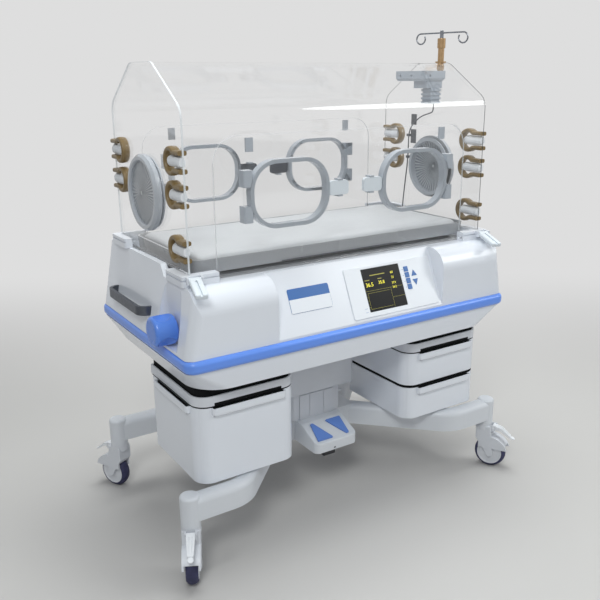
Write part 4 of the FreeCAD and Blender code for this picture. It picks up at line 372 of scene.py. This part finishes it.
def woven(name, light, dark, thread_mm, rough=0.7, sheen=0.25):
    """Close plain weave: two crossed waves at the thread's pitch, drawn as coarse as the render can show."""
    mat, tree = blank(name)
    place = put(tree, "ShaderNodeTexCoord").outputs["Object"]
    waves = []
    for way in ("X", "Y"):
        wave = put(tree, "ShaderNodeTexWave", {"Vector": place, "Scale": 1000 / thread_mm / 6.28,
                                               "Distortion": 0.6, "Detail": 1.0}, bands_direction=way)
        waves.append(wave.outputs["Fac"])
    cross = put(tree, "ShaderNodeMath", {0: waves[0], 1: waves[1]}, operation="MULTIPLY")
    bump = put(tree, "ShaderNodeBump", {"Height": cross.outputs[0], "Distance": 0.15 * MM, "Strength": 0.5})
    shader = put(tree, "ShaderNodeBsdfPrincipled",
                 {"Base Color": mottled(tree, light, dark, 140),
                  "Roughness": rough_patches(tree, rough - 0.1, rough, 60),
                  "Sheen Weight": sheen, "Sheen Roughness": 0.5, "Normal": bump.outputs["Normal"]})
    show(tree, shader.outputs["BSDF"])
    return mat


# Finishes, each from what the real one is
SHELL = moulded("moulded_abs_shell", "#ebeff6", "#e8ecf4", (0.22, 0.26), coat=0.3)  # ABS, smooth and glossy
CASE = moulded("moulded_abs_drawer", "#dcdfe5", "#d9dce3", (0.34, 0.39))  # ABS with fine spark grain
POWDER = moulded("powder_coated_steel", "#dcdfe4", "#d8dce2", (0.34, 0.40), 1.4, 0.04)  # orange-peel coat
COLUMN = moulded("enamelled_column", "#d9dce2", "#d6d9df", (0.32, 0.37))  # enamel on folded sheet
FORK = moulded("glass_filled_nylon", "#dadde3", "#d6d9df", (0.38, 0.44))  # nylon: dull, slightly mottled
LEVER = moulded("acetal_lever", "#eef0f4", "#eaedf1", (0.30, 0.35))  # acetal: slick and pale
BLUE = moulded("blue_tpe_trim", "#6b9cf9", "#6898f6", (0.28, 0.34), coat=0.2)  # elastomer, slight gloss
KNOB = moulded("blue_abs_knob", "#5d8fec", "#588ae8", (0.26, 0.31), coat=0.2)  # ABS with a polished dish
PAD = moulded("blue_rubber_pad", "#6a90da", "#6389d3", (0.45, 0.55), 1.6, 0.05)  # pedal rubber: dusty
PORT = moulded("moulded_polycarbonate_grey", "#b4bac2", "#aeb4bc", (0.18, 0.24), coat=0.3)
SENSOR = moulded("abs_sensor_case", "#aab4c0", "#a4aeba", (0.34, 0.40))
DECK = moulded("grey_abs_deck", "#b4b7bc", "#afb2b7", (0.36, 0.44))
TRAY = moulded("grey_polycarbonate_tray", "#a3a5a9", "#9da0a4", (0.24, 0.30), coat=0.1)
CONSOLE = moulded("polyester_membrane_white", "#eff3f9", "#ecf0f7", (0.32, 0.36), 0.6, 0.01)
KEYS = moulded("blue_membrane_keys", "#2f6bb2", "#2b65aa", (0.34, 0.40), 0.6, 0.01)
# DARK is also painted shade in the tray's finger slot and the switch's vent
DARK = moulded("dark_grip_and_painted_shade", "#4a4d54", "#44474e", (0.40, 0.48))
# BLACK is also painted shade in the strip by the left end wall
BLACK = moulded("black_abs_and_painted_shade", "#26272a", "#222326", (0.38, 0.46))
SILICONE = moulded("brown_silicone", "#86714c", "#786441", (0.34, 0.44), 1.0, 0.03)  # waxy, holds dust
ROLL = woven("rolled_cotton", "#eef0f3", "#e6e9ee", 1.6)  # drawn 1.6 mm: real thread is finer than a pixel
COVER = woven("wipe_clean_mattress_cover", "#c6c8cb", "#c0c2c5", 2.2, 0.5, 0.15)  # coated knit, slight sheen
HOSE = moulded("pvc_tube", "#5d6064", "#56595d", (0.3, 0.36))
BRASS = metal("satin_brass_tube", "#b99b78", "#ad8f6a", (0.26, 0.34), (1, 1, 0.05))
STEEL = metal("polished_steel_rod", "#8f9298", "#84878d", (0.22, 0.30), (1, 1, 0.05))
BRUSHED = metal("brushed_dark_handle", "#6a6e76", "#60646c", (0.34, 0.44), (1, 0.05, 1))
BARE = metal("zinc_plated_steel", "#b5b8bc", "#a9acb0", (0.34, 0.44))
CLEAR = clear_sheet("cast_acrylic_hood", 0.008)
PANE = clear_sheet("moulded_acrylic_door", 0.008)
# painted highlight along the hood's left end and the access panels, painted shade along the hood's right end
EDGE = painted_edge_light("painted_edge_highlight", "#f4f8fb", 0.6)
EDGE_FAINT = painted_edge_light("painted_faint_edge_highlight", "#eef2f5", 0.35)
EDGE_DARK = painted_edge_light("shaded_edge", "#55585d", 0.75)
GLASS_BLACK = moulded("screen_window", "#0c0d0f", "#0a0b0c", (0.30, 0.34), ior=1.25)
READOUT = lit("lit_readout", "#e6dc3a", 0.9)  # warm figures on a dark screen
RULE = lit("lit_rule", "#8f8a34", 0.5)  # dimmer lines between the figures
# painted shade: a dull black standing for the shade in the gaps, the finger scoops and the case trays
PAINTED_SHADE = moulded("painted_shade_black", "#1a1b1d", "#161718", (0.8, 0.9), ior=1.2)  # dull
LATCH = moulded("pale_acetal_latch", "#e0e7ed", "#dce3e9", (0.30, 0.35))
LABEL_BLUE = moulded("blue_label_film", "#3a6fb4", "#366aae", (0.34, 0.38), 0.6, 0.01)
TICK = moulded("printed_tick", "#6f8fc4", "#6989be", (0.4, 0.44))

FINISH = {
    "shell_white": SHELL, "case_grey": CASE, "frame_grey": POWDER, "column_white": COLUMN, "fork_grey": FORK,
    "lever_white": LEVER, "blue_trim": BLUE, "clear_hood": CLEAR, "clear_door": PANE, "port_grey": PORT,
    "grommet_brown": SILICONE, "panel_white": CONSOLE, "key_blue": KEYS, "screen": GLASS_BLACK,
    "latch_white": LATCH, "latch_dark": DARK, "pole_brass": BRASS, "hook_steel": STEEL, "handle_dark": BRUSHED,
    "deck_white": DECK, "tray_clear": TRAY, "mattress_cloth": COVER, "sensor_white": SENSOR, "hose_white": HOSE,
    "motor_metal": BARE, "fan_black": BLACK, "coil_steel": BARE, "cradle_steel": BARE,
}
OWN = {
    "pedal_raise": PAD, "pedal_lower": PAD, "tilt_knob_left": KNOB, "tilt_knob_right": KNOB,
    "iris_left": pleated("pleated_film_left", (-0.48, 0, 0.957)),
    "iris_right": pleated("pleated_film_right", (0.48, 0, 0.957)),
}
for joint in frame["record"]["behaviour"]["joints"]:
    if joint["name"].startswith("wheel_roll_"):
        mark = joint["name"][-2:]
        turn = math.atan2(joint["axis"][1], joint["axis"][0])
        OWN["caster_wheel_" + mark] = wheel_finish("polyurethane_tyre_" + mark, joint["pos_m"], turn)


def dress(obj, mat):
    """Put one material on every slot of an object."""
    if not obj.data.materials:
        obj.data.materials.append(mat)
    for cell in obj.material_slots:
        cell.material = mat


SLOT_OF = {part["node"]: part["material_slot"] for part in frame["record"]["subparts"]}
for name, obj in NODES.items():
    dress(obj, OWN.get(name) or FINISH[SLOT_OF[name]])


def finish(obj, mat, body):
    """A new piece's material and body."""
    dress(obj, mat)
    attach(obj, body)
    return obj


# Mattress: a slack cover over foam, flat below and softly sagging above
CLOTH_FRAMES = 20


def make_mattress():
    """Inset rings of one rounded rectangle, swollen as cloth by 4 mm at most, then given a sag and ripples."""
    low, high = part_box("mattress")
    inside = 0.003
    half_x, half_y = (high.x - low.x) / 2 - inside, (high.y - low.y) / 2 - inside
    z0, z1 = low.z + 0.001, high.z - 0.004
    soft, corner, core = 0.009, 0.02, 0.12
    most = 0.004
    t = np.linspace(0, np.pi / 2, 6)
    insets = np.concatenate([[core], soft * (1 - np.sin(t)), soft * (1 - np.cos(t)), [core]])
    heights = np.concatenate([[z0], z0 + soft * (1 - np.cos(t)), z1 - soft * (1 - np.sin(t)), [z1]])
    rings = []
    for inset, z in zip(insets, heights):
        loop = rounded_loop(half_x - inset, half_y - inset, corner)
        rings.append(np.column_stack([loop, np.full(len(loop), z)]))
    pad = join_grids("mattress_pad", [rings])
    remesh = pad.modifiers.new("remesh", "REMESH")
    remesh.mode = "VOXEL"
    remesh.voxel_size = 0.006
    bake_shape(pad)
    start = coords(pad)
    cloth = pad.modifiers.new("cloth", "CLOTH")
    cloth.settings.use_pressure = True
    cloth.settings.uniform_pressure_force = 4
    cloth.settings.effector_weights.gravity = 0
    cloth.settings.quality = 6
    scene = bpy.context.scene
    for k in range(1, CLOTH_FRAMES + 1):
        scene.frame_set(k)
    bake_shape(pad)
    scene.frame_set(1)
    moved = coords(pad) - start
    far = np.linalg.norm(moved, axis=1)[:, None]
    capped = start + moved * np.minimum(1, most / np.maximum(far, 1e-9))
    x, y = capped[:, 0], capped[:, 1]
    top = np.clip((capped[:, 2] - z0) / (z1 - z0), 0, 1)
    sag = 0.0022 * np.exp(-((x / 0.26) ** 2 + (y / 0.12) ** 2))
    ripple = 0.0006 * np.sin(x * 31 + 2.0 * np.sin(y * 17)) * np.cos(y * 23 + x * 5)
    capped[:, 2] += top * (ripple - sag)
    capped[:, 2] = np.clip(capped[:, 2], low.z + 0.0003, high.z + 0.003)
    pad.data.vertices.foreach_set("co", capped.ravel())
    pad.data.update()
    pad.data.shade_smooth()
    divide = pad.modifiers.new("smooth", "SUBSURF")
    divide.levels = divide.render_levels = 1
    finish(pad, COVER, "bed")
    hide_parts("mattress")


def coords(obj):
    """An object's own points as an array."""
    flat = np.empty(len(obj.data.vertices) * 3)
    obj.data.vertices.foreach_get("co", flat)
    return flat.reshape(-1, 3)


def bake_shape(obj):
    """Apply an object's modifiers into its mesh."""
    bpy.context.view_layer.update()
    seen = obj.evaluated_get(bpy.context.evaluated_depsgraph_get())
    mesh = bpy.data.meshes.new_from_object(seen)
    obj.modifiers.clear()
    obj.data = mesh


make_mattress()

# Grommets: waxy omega collars in the end walls, each holding a rolled cloth; a row is the side and the height
END_WALL_X = 0.4785
ROLL_START, ROLL_LENGTH, ROLL_RADIUS = 0.155, 0.0685, 0.0135
LIP_POINTS = 6
GROMMETS = [(-1, 1.051), (-1, 0.972), (-1, 0.842), (1, 1.051), (1, 0.972)]


def omega(side, z):
    """The collar's centre line: an arc wider than the two straight lips that it joins."""
    bulb, neck, middle, tip = 0.0285, 0.021, 0.169, 0.2245
    start = math.asin(neck / bulb)
    arc = np.linspace(start, 2 * np.pi - start, 40)
    y = middle + bulb * np.cos(arc)
    h = bulb * np.sin(arc)
    lip = np.linspace(tip, y[0] + 0.004, LIP_POINTS)
    y = np.concatenate([lip, y, lip[::-1]])
    h = np.concatenate([np.full(LIP_POINTS, neck), h, np.full(LIP_POINTS, -neck)])
    return np.stack([np.zeros_like(y), side * y, z + h], 1)


def make_grommets():
    """Each collar is a squarish oval carried along its omega; each roll a soft cylinder with a lapped edge."""
    collars, rolls = [], []
    for end in (-1, 1):
        for side, z in GROMMETS:
            path = omega(side, z) + (end * END_WALL_X, 0, 0)
            collars.append(moulding(path, (1, 0, 0), round_profile(0.0115, 0.006, 3.5)))
            t = np.linspace(0, 2 * np.pi, 40, endpoint=False)
            along = np.linspace(0, 1, 14)
            y = side * (ROLL_START + along * ROLL_LENGTH)
            edge = ROLL_RADIUS - 0.003 * np.exp(-along * 30) - 0.003 * np.exp(-(1 - along) * 30)
            crease = 1 + 0.035 * np.sin(3 * t)[None, :] * np.sin(along * 9 + z * 50)[:, None]
            lap = 1 - 0.05 * np.exp(-((t - 2.0) / 0.12) ** 2)[None, :]
            radius = edge[:, None] * crease * lap
            rolls.append(np.stack([end * END_WALL_X + 0.8 * radius * np.cos(t), np.repeat(y[:, None], len(t), 1),
                                   z + radius * np.sin(t)], -1))
    collar = join_grids("grommet_collars", collars)
    finish(collar, SILICONE, "lift")
    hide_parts("grommets")
    roll = join_grids("grommet_rolls", rolls)
    finish(roll, ROLL, "lift")


make_grommets()

# Console: the slope's own directions, with its foot line at the bumper
SLOPE = math.radians(65.2)
FOOT = np.array([0, -0.301, 0.598])
UP_SLOPE = np.array([0, math.cos(SLOPE), math.sin(SLOPE)])
OFF_SLOPE = np.array([0, -math.sin(SLOPE), math.cos(SLOPE)])
SCREEN_FACE = 2.6
HALF_RAISED = 0.05
SIZE_PER_HEIGHT = 1.4


def on_console(flat):
    """Points in millimetres along, up and off the slope, to the model's frame."""
    flat = np.asarray(flat, float) * MM
    return FOOT + flat[..., :1] * (1, 0, 0) + flat[..., 1:2] * UP_SLOPE + flat[..., 2:] * OFF_SLOPE


def on_floorlike(flat):
    """Points in millimetres along, across and above, to the model's frame."""
    return np.asarray(flat, float) * MM


def on_front(flat):
    """Points in millimetres along, above and out towards the front."""
    return np.asarray(flat, float)[..., [0, 2, 1]] * (MM, -MM, MM)


def on_left(flat):
    """Points in millimetres along, above and out towards the left end."""
    return np.asarray(flat, float)[..., [2, 0, 1]] * (-MM, MM, MM)


def on_right(flat):
    """Points in millimetres along, above and out towards the right end."""
    return np.asarray(flat, float)[..., [2, 0, 1]] * MM


def slabs(name, rows, place, mat, body):
    """Rounded plates with a small lead on the face; a row is left, right, low, high, corner, foot, thickness."""
    grids = []
    for left, right, low, high, corner, foot, thick in rows:
        lead = min(0.25, thick / 2)
        rings = []
        for inset, rise in ((0, 0), (0, thick - lead), (lead, thick)):
            loop = rounded_loop((right - left) / 2 - inset, (high - low) / 2 - inset, corner, 6)
            rings.append(np.column_stack([loop[:, 0] + (left + right) / 2, loop[:, 1] + (low + high) / 2,
                                          np.full(len(loop), foot + rise)]))
        grids.append(place(np.array(rings)))
    return finish(join_grids(name, grids, smooth=False), mat, body)


def figures(name, rows, place, mat, body):
    """Numbers standing 0.1 mm off the screen; a row is the number, its left edge, its foot and its height."""
    points, faces, base = [], [], 0
    for number, left, foot, tall in rows:
        curve = bpy.data.curves.new("number", "FONT")
        curve.body = number
        curve.size = tall * SIZE_PER_HEIGHT
        curve.extrude = HALF_RAISED
        curve.resolution_u = 3
        obj = bpy.data.objects.new("number", curve)
        bpy.context.scene.collection.objects.link(obj)
        bpy.context.view_layer.update()
        mesh = bpy.data.meshes.new_from_object(obj.evaluated_get(bpy.context.evaluated_depsgraph_get()))
        flat = np.empty(len(mesh.vertices) * 3)
        mesh.vertices.foreach_get("co", flat)
        flat = flat.reshape(-1, 3) + (left, foot, SCREEN_FACE + HALF_RAISED)
        points.append(flat)
        faces += [[base + k for k in face.vertices] for face in mesh.polygons]
        base += len(flat)
        bpy.data.objects.remove(obj)
        bpy.data.meshes.remove(mesh)
        bpy.data.curves.remove(curve)
    made = outward(mesh_object(name, place(np.concatenate(points)), faces, smooth=False), weld=True)
    return finish(made, mat, body)


def make_console():
    """Two-tone label plate, lit numbers and rules on the screen, ticks beside the keys; in millimetres."""
    slabs("label_plate", [(-222, -94, 64, 129, 5, 0, 0.8)], on_console, LABEL_BLUE, "lift")
    slabs("label_face", [(-221.4, -94.6, 64.6, 101, 1.5, 0.8, 0.3)], on_console, CONSOLE, "lift")
    numbers = [("36.5", 24, 96, 11), ("35.8", 68, 99, 9), ("60", 116, 122, 7), ("21", 116, 108, 7),
               ("37.0", 113, 93, 6), ("36.2", 113, 81, 6)]
    figures("screen_numbers", numbers, on_console, READOUT, "lift")
    rules = [(20, 148, 84, 84.6), (105, 105.6, 30, 84), (106, 148, 56, 56.6), (24, 100, 78, 78.6),
             (24, 100, 34, 34.6), (24, 24.6, 34, 78), (44, 96, 125, 127.5), (24, 40, 113, 115),
             (68, 82, 113, 115)]
    rules += [(21, 23, 40 + 9 * k, 41 + 9 * k) for k in range(4)]
    slabs("screen_rules", [(a, b, c, d, 0.25, SCREEN_FACE, 0.1) for a, b, c, d in rules],
          on_console, RULE, "lift")
    ticks = [(157, 162.5, 75 + 17 * k, 75.9 + 17 * k) for k in range(4)]
    ticks += [(2, 12, 38, 38.8), (2, 12, 28, 28.8)]
    slabs("panel_ticks", [(a, b, c, d, 0.35, 3, 0.15) for a, b, c, d in ticks],
          on_console, TICK, "lift")


make_console()


def ribbon(name, paths, normal, half_width, half_thick, mat, body):
    """Square-edged bands along open flat paths in millimetres, half_width to each side along the normal."""
    corners = np.array([(1, 1), (-1, 1), (-1, -1), (1, -1)]) * (half_width * MM, half_thick * MM)
    strips = [moulding(np.asarray(path) * MM, normal, corners) for path in paths]
    return finish(join_grids(name, strips, smooth=False), mat, body)


# Painted shade as dark bands and plates, in millimetres: in the case's tray, in the gaps round the drawers and
# in their finger scoops, where shade falls
CASE_OUT, CASE_IN, CASE_FRONT, CASE_BACK, CASE_RADIUS = 487, 194, -250, 41, 42
UPPER_TOP, LOWER_TOP = 446, 336
SCOOP_HALF, SCOOP_HIGH, SCOOP_BELOW = 103, 20, 0.6


def case_plan(side, inset, z):
    """The outline of a drawer case seen from above, open at the back."""
    left, right = CASE_IN + inset, CASE_OUT - inset
    front = CASE_FRONT + inset
    corners = [(side * left, CASE_BACK, z), (side * left, front, z), (side * right, front, z),
               (side * right, CASE_BACK, z)]
    return bent_line(corners, CASE_RADIUS - inset)


def make_painted_shade():
    """Painted shade: dark bands behind the gaps and in the case's tray, a dark plate in each finger scoop and a
    dark mouth on each case above its top scoop.
    """
    up = (0, 0, 1)
    both = (-1, 1)
    shade_loops = [case_plan(side, 8, 479.4) for side in both]
    ribbon("case_painted_shade", shade_loops, up, 25.2, 0.5, PAINTED_SHADE, "lift")
    gaps = [case_plan(side, 1.6, 448.2) for side in both]
    ribbon("case_gap", gaps, up, 1.7, 0.6, PAINTED_SHADE, "lift")
    ribbon("drawer_gap", [case_plan(1, 1.6, 340.7)], up, 4.2, 0.6, PAINTED_SHADE, "drawer_ru")
    middle = (CASE_OUT + CASE_IN) / 2
    along = (CASE_FRONT + 45) / 2
    for name, side, top, body in (("left", -1, UPPER_TOP, "drawer_l"), ("upper", 1, UPPER_TOP, "drawer_ru"),
                                  ("lower", 1, LOWER_TOP, "drawer_rl")):
        high = top - SCOOP_BELOW
        low = high - SCOOP_HIGH
        front = [(side * middle - SCOOP_HALF, side * middle + SCOOP_HALF, low, high, 1, -CASE_FRONT, 0.5)]
        slabs("scoop_front_" + name, front, on_front, PAINTED_SHADE, body)
        end = [(along - SCOOP_HALF, along + SCOOP_HALF, low, high, 1, CASE_OUT, 0.5)]
        slabs("scoop_side_" + name, end, on_left if side < 0 else on_right, PAINTED_SHADE, body)
    mouths = [(side * middle - 98, side * middle + 98, 450.05, 457.5, 1.2, -CASE_FRONT, 0.3) for side in both]
    slabs("case_mouths", mouths, on_front, PAINTED_SHADE, "lift")


make_painted_shade()

# Painted shade: a dark strip by the left end wall where shade falls under the tray's end, a dark strip for the
# shaded finger slot along the tray's front, the foot switch's stop, and a dark plate for the switch's shaded
# vent hole
slabs("deck_shade_strip", [(-473.6, -465, -158, 205, 3, 774.6, 15.2)], on_floorlike, BLACK, "lift")
# painted shade: a flat dark strip for the shaded inside of the tray's finger slot
slabs("tray_slot_shade", [(-204, 185, 778.6, 781.6, 1.4, 199, 0.3)], on_front, DARK, "bed")
slabs("switch_stop", [(-46, -4, -164, -146, 3, 151, 13.9)], on_floorlike, BLACK, "stand")
# painted shade: a flat dark plate for the switch's shaded vent hole
slabs("switch_vent_shade", [(-13, -5, 170, 174, 1.9, 168, 0.3)], on_front, DARK, "stand")


# Painted highlight and painted shade along the edges of the clear sheets, in millimetres
HOUSE = [(-225, 789), (-225, 1170), (-70, 1273), (70, 1273), (225, 1170), (225, 789)]
HOUSE_RADIUS, HOUSE_X = 44, 477
PANEL_X, PANEL_Y, PANEL_LOW, PANEL_HIGH, PANEL_RADIUS = 402, 222, 794, 1105, 65


def edge_strip(name, path, normal, half_width, mat, body):
    """A thin strip of painted edge light along an edge: half_width to each side along normal, 0.5 mm thick."""
    strip = moulding(np.asarray(path) * MM, normal, round_profile(half_width * MM, 0.5 * MM, 4, 12))
    return finish(join_grids(name, [strip]), mat, body)


def make_edges():
    """The end plates follow the hood's house-shaped section, the access panels their rounded outlines."""
    for side, x, mat, half in (("left", -HOUSE_X, EDGE, 2.6), ("right", HOUSE_X, EDGE_DARK, 0.9)):
        path = bent_line([(x, y, z) for y, z in HOUSE], HOUSE_RADIUS)
        edge_strip("hood_edge_" + side, path, (1, 0, 0), half, mat, "lift")
    for side, y, body in (("front", -PANEL_Y, "panel_front"), ("rear", PANEL_Y, "panel_rear")):
        corners = [(-PANEL_X, y, PANEL_LOW), (-PANEL_X, y, PANEL_HIGH), (PANEL_X, y, PANEL_HIGH),
                   (PANEL_X, y, PANEL_LOW)]
        edge_strip("panel_edge_" + side, bent_line(corners, PANEL_RADIUS), (0, 1, 0), 2.4, EDGE_FAINT, body)


make_edges()

# Floor and light
BACKDROP = "#dedede"
LAMP_LIGHT = "#fbfefd"
LAMP_AIM = (0, 0, 0.8)
AHEAD = np.array([0.5411, 0.8409, 0.0])
ACROSS = np.array([0.8409, -0.5411, 0.0])


def seen_directly(tree):
    """One for rays from the eye, a mirror or clear sheet, nought for rays that light the object."""
    path = put(tree, "ShaderNodeLightPath")
    some = put(tree, "ShaderNodeMath", {0: path.outputs["Is Camera Ray"], 1: path.outputs["Is Glossy Ray"]},
               operation="MAXIMUM")
    return put(tree, "ShaderNodeMath", {0: some.outputs[0], 1: path.outputs["Is Transmission Ray"]},
               operation="MAXIMUM").outputs[0]


def make_room():
    """A pale floor that bends up into a backdrop behind the object and fades into its colour."""
    bend = np.linspace(0, np.pi / 2, 16)
    start, radius = 3.5, 2.5
    run = np.concatenate([[-9.0], start + radius * np.sin(bend), [start + radius]])
    rise = np.concatenate([[0.0], radius * (1 - np.cos(bend)), [9.0]])
    wide = np.linspace(-12, 12, 3)
    grid = (run[:, None, None] * AHEAD + rise[:, None, None] * np.array([0, 0, 1.0])
            + wide[None, :, None] * ACROSS)
    room = mesh_object("room", grid, quads(len(run), len(wide), wrap=False))
    mat, tree = blank("matt_paper_backdrop")
    shader = put(tree, "ShaderNodeBsdfPrincipled", {"Base Color": mottled(tree, "#c8c6c4", "#c5c3c1", 1500),
                                                    "Roughness": 0.75, "IOR": 1.35})
    place = put(tree, "ShaderNodeTexCoord").outputs["Object"]
    away = put(tree, "ShaderNodeVectorMath", {0: place, 1: (AHEAD[0], AHEAD[1], 0.35)}, operation="DOT_PRODUCT")
    far = put(tree, "ShaderNodeMapRange", {"Value": away.outputs["Value"], "From Min": 0.2, "From Max": 2.6},
              interpolation_type="SMOOTHSTEP")
    seen = put(tree, "ShaderNodeMath", {0: far.outputs["Result"], 1: seen_directly(tree)}, operation="MULTIPLY")
    paper = put(tree, "ShaderNodeEmission", {"Color": linear(BACKDROP), "Strength": 1.0})
    both = put(tree, "ShaderNodeMixShader", {0: seen.outputs[0], 1: shader.outputs["BSDF"], 2: paper.outputs[0]})
    show(tree, both.outputs[0])
    dress(room, mat)


def make_world():
    """Soft bluish light from all round, seen as the plain backdrop colour."""
    world = bpy.data.worlds.new("studio")
    world.use_nodes = True
    sky = world.node_tree
    sky.nodes.clear()
    soft = put(sky, "ShaderNodeBackground", {"Color": linear("#e6ecf2"), "Strength": 0.26})
    plain = put(sky, "ShaderNodeBackground", {"Color": linear(BACKDROP), "Strength": 1.0})
    air = put(sky, "ShaderNodeMixShader", {0: seen_directly(sky), 1: soft.outputs[0], 2: plain.outputs[0]})
    put(sky, "ShaderNodeOutputWorld", {"Surface": air.outputs[0]})
    bpy.context.scene.world = world


def lamp(name, place, size, power, glossy=True):
    """A round soft lamp turned to the middle of the object; glossy says whether it shows in reflections."""
    data = bpy.data.lights.new(name, "AREA")
    data.shape = "DISK"
    data.size = size
    data.energy = power
    data.color = linear(LAMP_LIGHT)[:3]
    obj = bpy.data.objects.new(name, data)
    bpy.context.scene.collection.objects.link(obj)
    way = np.array(LAMP_AIM, float) - np.array(place, float)
    way /= np.linalg.norm(way)
    z = -way
    x = np.cross((0, 0, 1.0), z)
    x /= np.linalg.norm(x)
    y = np.cross(z, x)
    obj.matrix_world = Matrix([[x[k], y[k], z[k], place[k]] for k in range(3)] + [[0, 0, 0, 1]])
    obj.visible_glossy = glossy


make_room()
make_world()
lamp("key", (-2.2, -2.6, 3.4), 1.3, 60)
lamp("fill", (2.6, -2.4, 2.6), 1.8, 38)
lamp("top", (0.3, 0.3, 3.7), 2.6, 105, glossy=False)

scene = bpy.context.scene
scene.view_settings.view_transform = "Standard"
